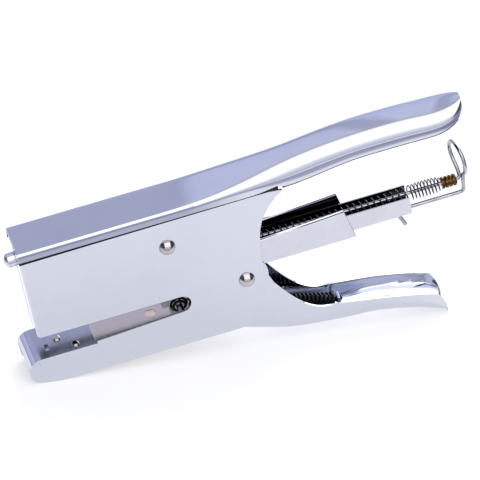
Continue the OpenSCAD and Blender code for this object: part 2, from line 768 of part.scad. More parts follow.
// Lever arms: a beam from the pivot's lobe to the rounded tip that carries the driver
neck_half = 1.3;
neck_l = 7;
shoulder_l = 14;
shoulder_half = 3.6;
beam_l = 40;
beam_dir = [cos(tip_angle), -sin(tip_angle)];
beam_up = [sin(tip_angle), cos(tip_angle)];
function on_beam(along, up) = [tip_x, tip_z] + along * beam_dir + up * beam_up;
beam_stops = [[neck_l, neck_half], [shoulder_l, shoulder_half], [beam_l, arm_half]];
tip_turn = asin(neck_half / tip_r);
lobe_turn = asin(arm_half / lobe_r);
seam_turn = asin(rim_fall / lobe_r);
stud_r = 1.3;
slot_gap = 0.2;
lift_at = [pivot_x - 38.2, pivot_z + 10.4];
lift_travel = norm(lift_at - [pivot_x, pivot_z]) * lost_angle * PI / 180;
lift_angle = atan2(lift_at[1] - pivot_z, lift_at[0] - pivot_x) - 90;
module lift_slot() {
    translate(lift_at) rotate(lift_angle) {
        circle(r = stud_r + slot_gap);
        translate([lift_travel, 0]) circle(r = stud_r + slot_gap);
        translate([0, -stud_r - slot_gap]) square([lift_travel, 2 * (stud_r + slot_gap)]);
    }
}
// Outline from the tip's front along the lower edge, round the lobe and back along the upper edge
function arm_points() = concat(
    arc([tip_x, tip_z], tip_r, tip_turn - tip_angle, 360 - tip_turn - tip_angle, 20),
    [for (s = beam_stops) on_beam(s[0], -s[1])],
    arc([pivot_x, pivot_z], lobe_r, 180 + lobe_turn - tip_angle, 180 + seam_turn, 6),
    [[pivot_x + rim_start, pivot_z - rim_fall]],
    arc([pivot_x, pivot_z], lobe_r, -12, 180 - lobe_turn - tip_angle, 20),
    [for (i = [2 : -1 : 0]) on_beam(beam_stops[i][0], beam_stops[i][1])]
);
module arm_outline() {
    difference() {
        polygon(arm_points());
        translate([pivot_x, pivot_z]) circle(r = rivet_d / 2 + pin_gap);
        lift_slot();
    }
}
module lever_arm_left() {
    color("lightgray") standing() sheet(arm_in, arm_out) arm_outline();
}
module lever_arm_right() {
    color("lightgray") standing() sheet(-arm_out, -arm_in) arm_outline();
}

// Lower handle: an open channel that hangs from the lobes' straight lower edges
pinch_u = 36;
pinch_run = 26;
function lower_half(u) =
    let (
        e = clamp01((u - lower_l + end_run) / end_run),
        w = arm_out - neck_pinch * (1 - ease(abs(u - pinch_u), 0, pinch_run))
    )
    w - (w - lower_end_half) * (1 - sqrt(1 - e * e * 0.98));
trough_steps = 5;
palm_round = 0.92;
palm_front = 42;
palm_back = 54;
// Trough section from the right rim under the floor to the left rim, drawn in by the given amount
function trough(u, inset) =
    let (
        fall = floor_at(u),
        rim = rim_at(u),
        half = lower_half(u),
        palm_r = mix(grip_bend_r, palm_round * half, ease(u, palm_front, palm_back)),
        r = min(palm_r, 0.9 * (fall - rim)),
        w = half - r,
        h = max(r - inset, 0.15),
        quarter = [
            for (i = [0 : trough_steps])
                let (a = 90 * i / trough_steps) [w + (r - inset) * cos(a), -fall + r - h * sin(a)]
        ]
    )
    concat(
        [[pivot_x + u, w + r - inset, pivot_z - rim]],
        [for (p = quarter) [pivot_x + u, p[0], pivot_z + p[1]]],
        [for (i = [trough_steps : -1 : 0]) [pivot_x + u, -quarter[i][0], pivot_z + quarter[i][1]]],
        [[pivot_x + u, -w - r + inset, pivot_z - rim]]
    );
lower_stations = concat(
    [floor_front],
    [for (i = [0 : 8]) mix(rim_start, rim_start + rim_run, i / 8)],
    [for (i = [1 : 8]) mix(rim_start + rim_run, lower_l - end_run, i / 8)],
    [for (i = [1 : 6]) lower_l - end_run * (1 - sin(15 * i))]
);
module lower_handle() {
    color("gainsboro") standing()
        loft_shell(
            [for (u = lower_stations) trough(u, 0)],
            [for (u = lower_stations) trough(u, arm_t)]
        );
}

// Driver: a T-shaped blade, and two forked ears that hold the arm tips
yoke_h = 8.4;
yoke_low = tip_z - yoke_h / 2;
ear_l = tip_x + tip_r - blade_x - blade_t;
fork_gap = 0.4;
fork_front = 0.3;
module driver_blade() {
    color("silver") standing() {
        translate([blade_x, -blade_w / 2, blade_edge]) cube([blade_t, blade_w, yoke_low - blade_edge]);
        translate([blade_x, -arm_out, yoke_low]) cube([blade_t, 2 * arm_out, yoke_h]);
    }
}
module driver_ears() {
    color("silver") standing() both_sides() difference() {
        translate([blade_x + blade_t, arm_in, yoke_low]) cube([ear_l, arm_t, yoke_h]);
        translate([blade_x + blade_t + fork_front, arm_in - eps, tip_z - tip_r - fork_gap])
            cube([ear_l, arm_t + 2 * eps, 2 * (tip_r + fork_gap)]);
    }
}

// Magazine housing: floor, two walls with rolled lips, and ears that hang on the pivot
wall_cut_x = 9;
wall_cut = 4.5;
wall_flare_x = pivot_x + 7;
wall_back = housing_l - housing_slant;
floor_start = blade_x + blade_t + 0.6;
ear_r = 5;
lip_start = 12;
guide_l = 8;
guide_end = housing_l - 4;
guide_h = channel_rise - housing_t - 0.15;
gate_t = 0.7;
gate_h = 6.9;
gate_x = 4.05;
gate_low = mag_bottom - 13.7;
module wall_outline() {
    difference() {
        union() {
            polygon([
                [0, mag_bottom], [housing_l, mag_bottom], [wall_back, mag_top + housing_flare],
                [wall_flare_x, mag_top], [wall_cut_x, mag_top], [wall_cut_x, mag_top - wall_cut],
                [0, mag_top - wall_cut]
            ]);
            translate([pivot_x, pivot_z]) circle(r = ear_r);
            translate([pivot_x - ear_r, pivot_z]) square([2 * ear_r, mag_rise + housing_t]);
        }
        translate([pivot_x, pivot_z]) circle(r = rivet_d / 2 + pin_gap);
    }
}
function lip_outline() = [
    [lip_start, mag_top - housing_t], [wall_flare_x, mag_top - housing_t],
    [wall_back, mag_top + housing_flare - housing_t], [wall_back, mag_top + housing_flare],
    [wall_flare_x, mag_top], [lip_start, mag_top]
];
module magazine_housing() {
    color("gainsboro") standing() difference() {
        union() {
            both_sides() sheet(housing_in, housing_out) wall_outline();
            translate([floor_start, -housing_out, mag_bottom])
                cube([housing_l - floor_start, 2 * housing_out, housing_t]);
            both_sides() sheet(housing_in - lip_w, housing_out) polygon(lip_outline());
            translate([guide_end - guide_l, -channel_out, mag_bottom])
                cube([guide_l, channel_w, housing_t + guide_h]);
        }
        nose_up(mag_swing)
            translate([-3 * gate_h, -cover_w, gate_low - 3 * gate_h])
                cube([3 * gate_h + gate_x + gate_t, 2 * cover_w, 8 * gate_h]);
    }
}
module staple_gate() {
    color("gainsboro") standing() nose_up(mag_swing)
        translate([gate_x, -housing_out, gate_foot]) cube([gate_t, 2 * housing_out, gate_h]);
}
// The gate's lower edge where the magazine ends its swing
gate_arm = [pivot_x - gate_x, mag_rise];
gate_foot = pivot_z + gate_arm[1] * cos(mag_swing) - gate_arm[0] * sin(mag_swing);
module lift_studs() {
    color("silver") standing() both_sides()
        cross_bar(lift_at[0], lift_at[1], stud_r, housing_out, arm_out - run_gap / 2);
}

// Feeder channel, open on top, with a runner on the housing's floor
pusher_x = 8.4;
channel_start = pusher_x + pusher_l + pusher_travel + 1.6;
runner_l = 14;
runner_gap = 0.2;
leg_hole_r = wire_d / 2 + 0.6;
module feeder_channel() {
    color("gainsboro") standing() difference() {
        union() {
            translate([channel_start, -channel_out, channel_bottom])
                cube([channel_end - channel_start, channel_w, channel_h]);
            translate([channel_start + 1, -channel_out, mag_bottom + housing_t + runner_gap])
                cube([runner_l, channel_w, channel_rise]);
        }
        translate([channel_start - eps, -channel_out + channel_t, channel_bottom + channel_t])
            cube([channel_end - channel_start + 2 * eps, channel_w - 2 * channel_t, channel_h]);
        translate([leg_end, leg_y, channel_bottom - eps])
            cylinder(r = leg_hole_r, h = channel_t + 2 * eps);
        translate([leg_end, leg_y - leg_hole_r, channel_bottom - eps])
            cube([channel_end, 2 * leg_hole_r, channel_t + 2 * eps]);
    }
}

// Pull wire, bent from one round wire
wire_sides = 12;
module pull_wire() {
    color("silver") standing() tube(wire_path, wire_d / 2, wire_sides);
}
sleeve_ribs = 4;
sleeve_back = ring_x - wire_bend_r - lap_gap;
sleeve_front = sleeve_back - sleeve_l;
module brass_sleeve() {
    rib_pitch = sleeve_l / sleeve_ribs;
    groove = 0.5;
    color("goldenrod") standing()
        translate([sleeve_front, 0, rod_z]) rotate([0, 90, 0]) difference() {
            union() {
                cylinder(d = sleeve_d - 2 * groove, h = sleeve_l);
                for (i = [0 : sleeve_ribs - 1])
                    translate([0, 0, i * rib_pitch]) cylinder(d = sleeve_d, h = rib_pitch * 0.7);
            }
            translate([0, 0, -eps]) cylinder(r = wire_d / 2 + pin_gap, h = sleeve_l + 2 * eps);
        }
}

// Staple pusher on the guide rod, and the spring behind it
pusher_foot = mag_bottom + housing_t + run_gap;
pusher_top = rod_z + wire_d;
pusher_web = 1.2;
module staple_pusher() {
    half = housing_in - run_gap;
    color("silver") standing() difference() {
        translate([pusher_x, -half, pusher_foot]) cube([pusher_l, 2 * half, pusher_top - pusher_foot]);
        translate([pusher_x + pusher_web, -half + pusher_web, pusher_foot - eps])
            cube([pusher_l - 2 * pusher_web, 2 * (half - pusher_web), rod_z - wire_d - pusher_web - pusher_foot]);
        translate([pusher_x - eps, 0, rod_z])
            rotate([0, 90, 0]) cylinder(r = wire_d / 2 + 0.1, h = pusher_l + 2 * eps);
    }
}
feed_front = pusher_x + pusher_l + lap_gap;
feed_l = sleeve_front - lap_gap - feed_front;
module pusher_spring() {
    color("gray") standing()
        translate([feed_front, 0, rod_z]) coil(feed_l, feed_coil_d / 2, feed_wire_d, feed_turns);
}

echo(pusher_spring_gap = coil_gap(feed_l, feed_coil_d / 2, feed_wire_d, feed_turns));
echo(return_spring_gap = coil_gap(spring_l, pull_coil_d / 2, pull_wire_d, pull_turns));
echo(tilt = tilt, pivot = row_point([pivot_x, pivot_z]), driver_stroke = driver_stroke);

side_plate_left();
side_plate_right();
upper_handle();
nose_block();
nose_stud();
cross_rivet();
cross_spacer();
pivot_rivet();
pivot_spacer();
jaw_channel();
anvil();
anvil_rivets();
spring_pin();
lever_arm_left();
lever_arm_right();
lower_handle();
spring_tab();
driver_blade();
driver_ears();
magazine_housing();
staple_gate();
lift_studs();
feeder_channel();
pull_wire();
brass_sleeve();
staple_pusher();
return_spring();
pusher_spring();
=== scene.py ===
"""Plier stapler in chrome plate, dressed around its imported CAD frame.

The CAD solids carry the shapes. This script rounds their crisp edges, smooths the pressed shells,
winds the two springs, gives every piece its metal finish and sets a plain white studio round it.
Sizes are in millimetres in the head's own frame: x runs rearwards along the throat, y across the
tool and z square to the throat, with the origin at the nose on the cover flange's lower edge.
"""

import json
import logging
import math
from dataclasses import dataclass, replace
from enum import Enum
from typing import Any, Iterable, Iterator, Optional

import bmesh
import bpy
from mathutils import Matrix, Quaternion, Vector


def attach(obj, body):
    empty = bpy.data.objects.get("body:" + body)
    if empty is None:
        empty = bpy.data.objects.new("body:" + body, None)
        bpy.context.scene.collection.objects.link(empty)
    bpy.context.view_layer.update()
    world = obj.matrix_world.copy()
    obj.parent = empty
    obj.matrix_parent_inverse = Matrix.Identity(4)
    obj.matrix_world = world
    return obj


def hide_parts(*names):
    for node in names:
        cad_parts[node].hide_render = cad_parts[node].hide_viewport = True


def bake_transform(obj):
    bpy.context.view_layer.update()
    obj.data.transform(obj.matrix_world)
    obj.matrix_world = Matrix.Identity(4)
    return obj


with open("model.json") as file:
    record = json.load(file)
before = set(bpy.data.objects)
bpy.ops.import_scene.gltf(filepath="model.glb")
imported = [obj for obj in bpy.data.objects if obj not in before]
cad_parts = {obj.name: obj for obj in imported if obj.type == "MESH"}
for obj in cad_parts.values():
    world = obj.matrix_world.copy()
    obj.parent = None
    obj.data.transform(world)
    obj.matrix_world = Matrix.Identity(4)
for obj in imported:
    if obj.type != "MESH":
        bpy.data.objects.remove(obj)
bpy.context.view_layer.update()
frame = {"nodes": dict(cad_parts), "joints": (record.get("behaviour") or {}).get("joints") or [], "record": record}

LOG = logging.getLogger("plier_stapler")
MM = 0.001
MERGE_DISTANCE = 0.002 * MM
# Least turn, in degrees, of an edge that is rounded, and of a smoothed shell's crisp edge.
ROUNDED_TURN = 35
CRISP_TURN = 50
# Most turn, in degrees, between faces that are one flat face, and between triangles of one quad.
FLAT_TURN = 1
QUAD_TURN = 35
# Least share of its own direction in the normal of a wall or a floor.
FACING = 0.3
# Noise between which a film goes from none to full, and share of the fine marks in the wear.
SMUDGE_SPAN = (0.42, 0.72)
MARK_SHARE = 0.5


def linear(hex_colour: str) -> tuple[float, float, float, float]:
    """Turns an sRGB hex colour into linear RGBA.

    Args:
        hex_colour: Six hex digits after a hash sign.

    Returns:
        Linear red, green, blue and an alpha of 1.
    """
    digits = hex_colour.lstrip("#")
    values = [int(digits[i : i + 2], 16) / 255 for i in (0, 2, 4)]
    red, green, blue = (
        v / 12.92 if v <= 0.04045 else ((v + 0.055) / 1.055) ** 2.4 for v in values
    )
    return red, green, blue, 1.0


def add_node(
    tree: bpy.types.NodeTree,
    kind: str,
    settings: Optional[dict[str, Any]] = None,
    inputs: Optional[dict[Any, Any]] = None,
) -> bpy.types.Node:
    """Adds a shader node with its settings and links.

    Args:
        tree: The node tree that gets the node.
        kind: Blender's name of the node type.
        settings: Properties of the node.
        inputs: Socket name or number, and the value or the output socket that goes into it.

    Returns:
        The new node.
    """
    node = tree.nodes.new(kind)
    for name, value in (settings or {}).items():
        setattr(node, name, value)
    for name, value in (inputs or {}).items():
        if isinstance(value, bpy.types.NodeSocket):
            tree.links.new(value, node.inputs[name])
        else:
            node.inputs[name].default_value = value
    return node


def fill_ramp(ramp: bpy.types.ColorRamp, stops: Iterable[tuple[float, tuple[float, ...]]]) -> None:
    """Sets the stops of a colour ramp.

    Args:
        ramp: The ramp to fill.
        stops: Places from 0 to 1 with their linear colours, in rising order.
    """
    for i, (place, colour) in enumerate(stops):
        stop = ramp.elements[i] if i < len(ramp.elements) else ramp.elements.new(place)
        stop.position = place
        stop.color = colour


class Grain(Enum):
    """How a surface was worked, as the stretch of its fine marks along x, y and z."""

    BUFFED = (1.0, 1.0, 1.0)
    ROLLED = (0.06, 1.0, 1.0)
    TURNED = (1.0, 0.1, 0.1)


@dataclass(frozen=True)
class MetalFinish:
    """A metal surface: its colour, gloss, fine marks and smudges.

    Attributes:
        name: The material's name.
        metal: Colour of the clean metal.
        film: Colour where handling has left a film; on the cover's fold, a painted shade.
        gloss: Roughness of the cleanest spots.
        haze: Roughness of the dullest spots.
        grain: How the surface was worked.
        mark_mm: Width of a fine mark. Real marks are finer, and these are as coarse as shows.
        mark_relief: Strength of the fine marks' relief.
        smudge_mm: Size of the smudges.
        wave_mm: Size of the slow waves in the sheet.
        wave_relief: Strength of the waves' relief.
        metallic: Share of metal in the surface.
        shade_span: Places along x, in metres, between which the film grows; on the cover's fold it is a painted
            shade. Without it, smudges.
    """

    name: str
    metal: str
    film: str
    gloss: float
    haze: float
    grain: Grain
    mark_mm: float
    mark_relief: float
    smudge_mm: float
    wave_mm: float = 40.0
    wave_relief: float = 0.0
    metallic: float = 1.0
    shade_span: Optional[tuple[float, float]] = None

    def material(self) -> bpy.types.Material:
        """Builds the material once and returns it."""
        found = bpy.data.materials.get(self.name)
        if found:
            return found
        material = bpy.data.materials.new(self.name)
        material.use_nodes = True
        tree = material.node_tree
        tree.nodes.clear()
        where = add_node(tree, "ShaderNodeTexCoord").outputs["Object"]
        stretched = add_node(
            tree, "ShaderNodeMapping", inputs={"Vector": where, "Scale": self.grain.value}
        )
        marks = add_node(
            tree,
            "ShaderNodeTexNoise",
            inputs={
                "Vector": stretched.outputs["Vector"],
                "Scale": 1 / (self.mark_mm * MM),
                "Detail": 2.0,
            },
        )
        smudges = add_node(
            tree,
            "ShaderNodeTexNoise",
            inputs={
                "Vector": where,
                "Scale": 1 / (self.smudge_mm * MM),
                "Detail": 4.0,
                "Roughness": 0.6,
            },
        )
        waves = add_node(
            tree,
            "ShaderNodeTexNoise",
            inputs={"Vector": where, "Scale": 1 / (self.wave_mm * MM), "Detail": 0.0},
        )
        spread, span = smudges.outputs["Fac"], SMUDGE_SPAN
        if self.shade_span:
            parts = add_node(tree, "ShaderNodeSeparateXYZ", inputs={"Vector": where})
            spread, span = parts.outputs["X"], self.shade_span
        film = add_node(
            tree,
            "ShaderNodeMapRange",
            {"interpolation_type": "SMOOTHSTEP"},
            {"Value": spread, "From Min": span[0], "From Max": span[1]},
        )
        colour = add_node(
            tree,
            "ShaderNodeMix",
            {"data_type": "RGBA"},
            {"Factor": film.outputs["Result"], "A": linear(self.metal), "B": linear(self.film)},
        )
        wear = add_node(
            tree,
            "ShaderNodeMath",
            {"operation": "MULTIPLY_ADD"},
            {0: marks.outputs["Fac"], 1: MARK_SHARE, 2: film.outputs["Result"]},
        )
        dullness = add_node(
            tree,
            "ShaderNodeMapRange",
            inputs={
                "Value": wear.outputs["Value"],
                "From Max": 1 + MARK_SHARE,
                "To Min": self.gloss,
                "To Max": self.haze,
            },
        )
        wave_bump = add_node(
            tree,
            "ShaderNodeBump",
            inputs={
                "Strength": self.wave_relief,
                "Distance": self.wave_mm * MM,
                "Height": waves.outputs["Fac"],
            },
        )
        mark_bump = add_node(
            tree,
            "ShaderNodeBump",
            inputs={
                "Strength": self.mark_relief,
                "Distance": self.mark_mm * MM,
                "Height": marks.outputs["Fac"],
                "Normal": wave_bump.outputs["Normal"],
            },
        )
        shader = add_node(
            tree,
            "ShaderNodeBsdfPrincipled",
            inputs={
                "Base Color": colour.outputs["Result"],
                "Metallic": self.metallic,
                "Roughness": dullness.outputs["Result"],
                "Normal": mark_bump.outputs["Normal"],
            },
        )
        add_node(tree, "ShaderNodeOutputMaterial", inputs={"Surface": shader.outputs["BSDF"]})
        return material


# Chrome plate over buffed pressings: a mirror with a cool tint and hardly any marks.
CHROME = MetalFinish(
    "polished_chrome_plate", "#CDD0D9", "#CACDD6", 0.03, 0.06, Grain.BUFFED,
    mark_mm=0.5, mark_relief=0.004, smudge_mm=40, wave_relief=0.0008,
)
# Chrome on the unbuffed inner side of the pressings: grey and blurred, as it was never polished.
UNBUFFED = MetalFinish(
    "unbuffed_chrome_inside", "#8E8E90", "#77777A", 0.22, 0.38, Grain.ROLLED,
    mark_mm=0.4, mark_relief=0.03, smudge_mm=12,
)
# Chrome in narrow folds and troughs, darkened as painted shade for the shade that falls there: a dim blue mirror.
SHADED_WALL_CHROME = MetalFinish(
    "painted_shade_chrome", "#A3A6B6", "#9699AA", 0.08, 0.16, Grain.ROLLED,
    mark_mm=0.4, mark_relief=0.01, smudge_mm=16,
)
# Bright nickel over thin rolled sheet: a softer mirror with faint lines along the sheet.
NICKEL = MetalFinish(
    "bright_nickel_sheet", "#CDCED6", "#C7C8D0", 0.05, 0.11, Grain.ROLLED,
    mark_mm=0.35, mark_relief=0.01, smudge_mm=22, wave_relief=0.001,
)
# Painted shade inside the pressings: the sheet's inner faces made nearly black for the shade in the cover, housing
# and channel, with a glossy sheen.
SHADED_INSIDE_SHEET = MetalFinish(
    "painted_shade_inside", "#2B2B2E", "#1A1A1C", 0.14, 0.3, Grain.ROLLED,
    mark_mm=0.35, mark_relief=0.03, smudge_mm=8,
)
# Nickel dulled by paper: a warm grey that still mirrors the dark throat over it.
JAW_NICKEL = MetalFinish(
    "paper_worn_nickel", "#D3C7C1", "#C7BBB5", 0.16, 0.26, Grain.ROLLED,
    mark_mm=0.4, mark_relief=0.02, smudge_mm=14,
)
# Hardened anvil plate under nickel: a cool soft mirror, in which the rim's shade runs out. Its colour is darker
# than the lip's as painted shade for the shade under the rim.
ANVIL_NICKEL_SHADED = MetalFinish(
    "satin_nickel_anvil_painted_shade", "#AEB1BF", "#A2A5B4", 0.2, 0.3, Grain.BUFFED,
    mark_mm=0.4, mark_relief=0.008, smudge_mm=9,
)
# Burnished rivet heads: a crisp mirror with a warm cast beside the chrome; the darker colour is a painted
# reflection of the dark room that the domes mirror.
RIVET_NICKEL_PAINTED_REFLECTION = MetalFinish(
    "burnished_rivet_nickel_painted_reflection", "#C2BCBA", "#B4AEAC", 0.03, 0.06, Grain.BUFFED,
    mark_mm=0.3, mark_relief=0.004, smudge_mm=5,
)
# Bright drawn steel: smooth grey wire and strip with lines along its length.
STEEL = MetalFinish(
    "bright_drawn_steel", "#B4B6BC", "#96989F", 0.1, 0.22, Grain.ROLLED,
    mark_mm=0.25, mark_relief=0.02, smudge_mm=6,
)
# Oil-tempered spring wire: dark grey with a brown cast and a satin sheen.
SPRING_WIRE = MetalFinish(
    "oil_tempered_wire", "#5A585C", "#343236", 0.16, 0.3, Grain.BUFFED,
    mark_mm=0.3, mark_relief=0.03, smudge_mm=4,
)
# Zinc plate: a dull blue-grey with a fine crystalline speckle.
ZINC = MetalFinish(
    "dull_zinc_plate", "#9DA0A8", "#83868F", 0.25, 0.42, Grain.BUFFED,
    mark_mm=0.6, mark_relief=0.04, smudge_mm=5,
)
# Turned brass: warm yellow with fine rings from the lathe and a brown film in the grooves.
BRASS = MetalFinish(
    "turned_brass", "#6A4E2A", "#1E1407", 0.14, 0.34, Grain.TURNED,
    mark_mm=0.3, mark_relief=0.05, smudge_mm=2.2,
)
# Oiled black oxide on spring wire: nearly black, with a satin sheen.
BLACK_OXIDE = MetalFinish(
    "oiled_black_oxide", "#1B1C20", "#101114", 0.24, 0.4, Grain.BUFFED,
    mark_mm=0.4, mark_relief=0.03, smudge_mm=4, metallic=0.7,
)
# Painted shadow under a pressed hem: dark steel-grey that stands in for the shade in the gap under the hem and
# inside the nick.
HEM_SHADOW_STRIP = MetalFinish(
    "painted_hem_shadow", "#24252A", "#17181B", 0.3, 0.5, Grain.ROLLED,
    mark_mm=0.3, mark_relief=0.04, smudge_mm=5,
)


@dataclass(frozen=True)
class HeadFrame:
    """The head's own frame, placed in the row frame by the record's joints.

    Attributes:
        pivot_x: Place of the pivot behind the nose.
        pivot_z: Height of the pivot over the flange's edge.
    """

    pivot_x: float = 98.2
    pivot_z: float = -47.4

    def matrix(self) -> Matrix:
        """Turns millimetres in the head's frame into metres in the row frame."""
        joints = {joint["name"]: joint for joint in frame["joints"]}
        pivot = Vector(joints["lever_hinge"]["pos_m"])
        along = Vector(joints["feeder_slide"]["axis"])
        turn = Matrix.Rotation(-math.atan2(along.z, along.x), 4, "Y")
        back = Matrix.Translation((-self.pivot_x, 0, -self.pivot_z))
        return Matrix.Translation(pivot) @ turn @ Matrix.Scale(MM, 4) @ back

    def point(self, x: float, y: float, z: float) -> Vector:
        """A point of the head's frame, in the row frame."""
        return self.matrix() @ Vector((x, y, z))


HEAD = HeadFrame()
BODY_OF = {
    node: body
    for body, nodes in frame["record"]["behaviour"]["bodies"].items()
    for node in nodes
}


def head_box(node: str) -> tuple[Vector, Vector]:
    """The lowest and highest corners of a CAD node, along the head's axes.

    Args:
        node: The node's name.

    Returns:
        The two corners, in millimetres in the head's frame.
    """
    to_head = HEAD.matrix().inverted()
    points = [to_head @ vertex.co for vertex in frame["nodes"][node].data.vertices]
    low = Vector([min(point[i] for point in points) for i in range(3)])
    high = Vector([max(point[i] for point in points) for i in range(3)])
    return low, high


def faces_in_head(
    piece: bpy.types.Object,
) -> Iterator[tuple[bpy.types.MeshPolygon, Vector, Vector]]:
    """Goes through a piece's faces.

    Args:
        piece: The piece, at the origin.

    Returns:
        Each face, with its centre in millimetres and its normal in the head's frame.
    """
    to_head = HEAD.matrix().inverted()
    turn = to_head.to_3x3().normalized()
    for face in piece.data.polygons:
        yield face, to_head @ face.center, turn @ face.normal


def keep_mesh(bm: bmesh.types.BMesh, name: str, finish: MetalFinish) -> bpy.types.Object:
    """Makes an object from a finished bmesh, at the origin.

    Args:
        bm: The mesh, in metres in the row frame. It is freed.
        name: The piece's name.
        finish: The piece's finish.

    Returns:
        The new object, linked to the scene.
    """
    for face in bm.faces:
        face.smooth = True
    mesh = bpy.data.meshes.new(name)
    bm.to_mesh(mesh)
    bm.free()
    mesh.materials.append(finish.material())
    piece = bpy.data.objects.new(name, mesh)
    bpy.context.scene.collection.objects.link(piece)
    return piece


def node_copy(node: str) -> bmesh.types.BMesh:
    """A merged copy of a CAD node's mesh.

    Args:
        node: The node's name.

    Returns:
        The copy, with its doubles merged.
    """
    bm = bmesh.new()
    bm.from_mesh(frame["nodes"][node].data)
    bmesh.ops.remove_doubles(bm, verts=bm.verts[:], dist=MERGE_DISTANCE)
    return bm


def sharp_edges(bm: bmesh.types.BMesh, degrees: float) -> list[bmesh.types.BMEdge]:
    """The edges whose two faces turn by more than an angle.

    Args:
        bm: The mesh.
        degrees: The least turn.

    Returns:
        The edges found.
    """
    least = math.radians(degrees)
    return [
        edge
        for edge in bm.edges
        if len(edge.link_faces) == 2 and edge.calc_face_angle(0.0) > least
    ]


def stand_for(piece: bpy.types.Object, node: str) -> None:
    """Hides the CAD node that a piece stands for, and logs it."""
    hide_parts(node)
    LOG.info("%s stands for %s", piece.name, node)


def add_finish(piece: bpy.types.Object, finish: MetalFinish) -> int:
    """Gives a piece one more finish, and returns its place in the piece's list."""
    piece.data.materials.append(finish.material())
    return len(piece.data.materials) - 1


class Mouth(Enum):
    """The way that an open pressing faces, as the sign of z that its inner floor looks along."""

    UP = 1
    DOWN = -1


def line_inside(
    piece: bpy.types.Object,
    finish: MetalFinish,
    mouth: Mouth,
    rim_mm: float,
    lean: float = 1.0,
) -> None:
    """Gives the inner faces of an open pressing a finish of their own.

    Args:
        piece: The pressing, with its sides square to y.
        finish: The finish of the inner faces.
        mouth: The way that the pressing is open.
        rim_mm: Depth inside the mouth from which a face that looks out counts as the floor.
        lean: Most that a wall leans from upright, as the share of z in its normal.
    """
    inside = add_finish(piece, finish)
    to_head = HEAD.matrix().inverted()
    rim = max(mouth.value * (to_head @ vertex.co).z for vertex in piece.data.vertices)
    for face, centre, normal in faces_in_head(piece):
        is_wall = normal.y * centre.y < -FACING * abs(centre.y) and abs(normal.z) < lean
        is_floor = mouth.value * normal.z > FACING and mouth.value * centre.z < rim - rim_mm
        if is_wall or is_floor:
            face.material_index = inside


def soften(
    node: str,
    finish: MetalFinish,
    edge_mm: float,
    flush_z: Optional[float] = None,
) -> bpy.types.Object:
    """Stands a copy of a CAD node in its place, with its crisp edges rounded.

    Args:
        node: The node's name.
        finish: The finish of the copy.
        edge_mm: Width of the rounding.
        flush_z: Height at which another piece carries the surface on, so edges stay crisp.

    Returns:
        The copy.
    """
    bm = node_copy(node)
    bmesh.ops.dissolve_limit(
        bm, angle_limit=math.radians(FLAT_TURN), verts=bm.verts[:], edges=bm.edges[:]
    )
    to_head = HEAD.matrix().inverted()
    rounded = [
        edge
        for edge in sharp_edges(bm, ROUNDED_TURN)
        if flush_z is None
        or any(abs((to_head @ vert.co).z - flush_z) > edge_mm for vert in edge.verts)
    ]
    bmesh.ops.bevel(
        bm,
        geom=rounded,
        offset=edge_mm * MM,
        affect="EDGES",
        segments=2,
        profile=0.5,
        material=-1,
        clamp_overlap=True,
    )
    piece = keep_mesh(bm, f"{node}_rounded", finish)
    weighted = piece.modifiers.new("flat_faces", "WEIGHTED_NORMAL")
    weighted.keep_sharp = True
    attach(piece, BODY_OF[node])
    stand_for(piece, node)
    return piece


def smooth_shell(node: str, finish: MetalFinish, levels: int) -> bpy.types.Object:
    """Stands a smoothed copy of a lofted CAD node in its place.

    Args:
        node: The node's name.
        finish: The finish of the copy.
        levels: Levels of the Subdivision Surface.

    Returns:
        The copy.
    """
    bm = node_copy(node)
    bmesh.ops.join_triangles(
        bm,
        faces=bm.faces[:],
        angle_face_threshold=math.radians(QUAD_TURN),
        angle_shape_threshold=math.radians(180),
    )
    crease = bm.edges.layers.float.new("crease_edge")
    for edge in sharp_edges(bm, CRISP_TURN):
        edge[crease] = 1.0
        edge.smooth = False
    piece = keep_mesh(bm, f"{node}_smoothed", finish)
    surface = piece.modifiers.new("smooth_surface", "SUBSURF")
    surface.levels = surface.render_levels = levels
    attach(piece, BODY_OF[node])
    stand_for(piece, node)
    return piece


def lay_along(bm: bmesh.types.BMesh, start: Vector, end: Vector) -> None:
    """Moves a mesh that runs along x from the origin, in millimetres, onto a line.

    Args:
        bm: The mesh.
        start: Where its origin goes, in the head's frame.
        end: The point towards which its x axis turns, in the head's frame.
    """
    turn = Vector((1, 0, 0)).rotation_difference(end - start).to_matrix().to_4x4()
    place = HEAD.matrix() @ Matrix.Translation(start) @ turn
    bmesh.ops.transform(bm, matrix=place, verts=bm.verts[:])


@dataclass(frozen=True)
class Winding:
    """A stretch of a wound spring.

    Attributes:
        turns: Number of turns.
        pitch: Advance in one turn.
    """

    turns: int
    pitch: float


def start_tube(
    bm: bmesh.types.BMesh, radius: float, sides: int, place: Matrix
) -> list[bmesh.types.BMEdge]:
    """Makes the closed first end of a wire or a bead.

    Args:
        bm: The mesh that gets the end.
        radius: Radius of the tube.
        sides: Sides of the tube.
        place: Where the end goes. It starts in the x-y plane.

    Returns:
        The edges round the end.
    """
    ring = bmesh.ops.create_circle(bm, cap_ends=False, segments=sides, radius=radius, matrix=place)
    edges = list({edge for vert in ring["verts"] for edge in vert.link_edges})
    bmesh.ops.edgeloop_fill(bm, edges=edges)
    return edges


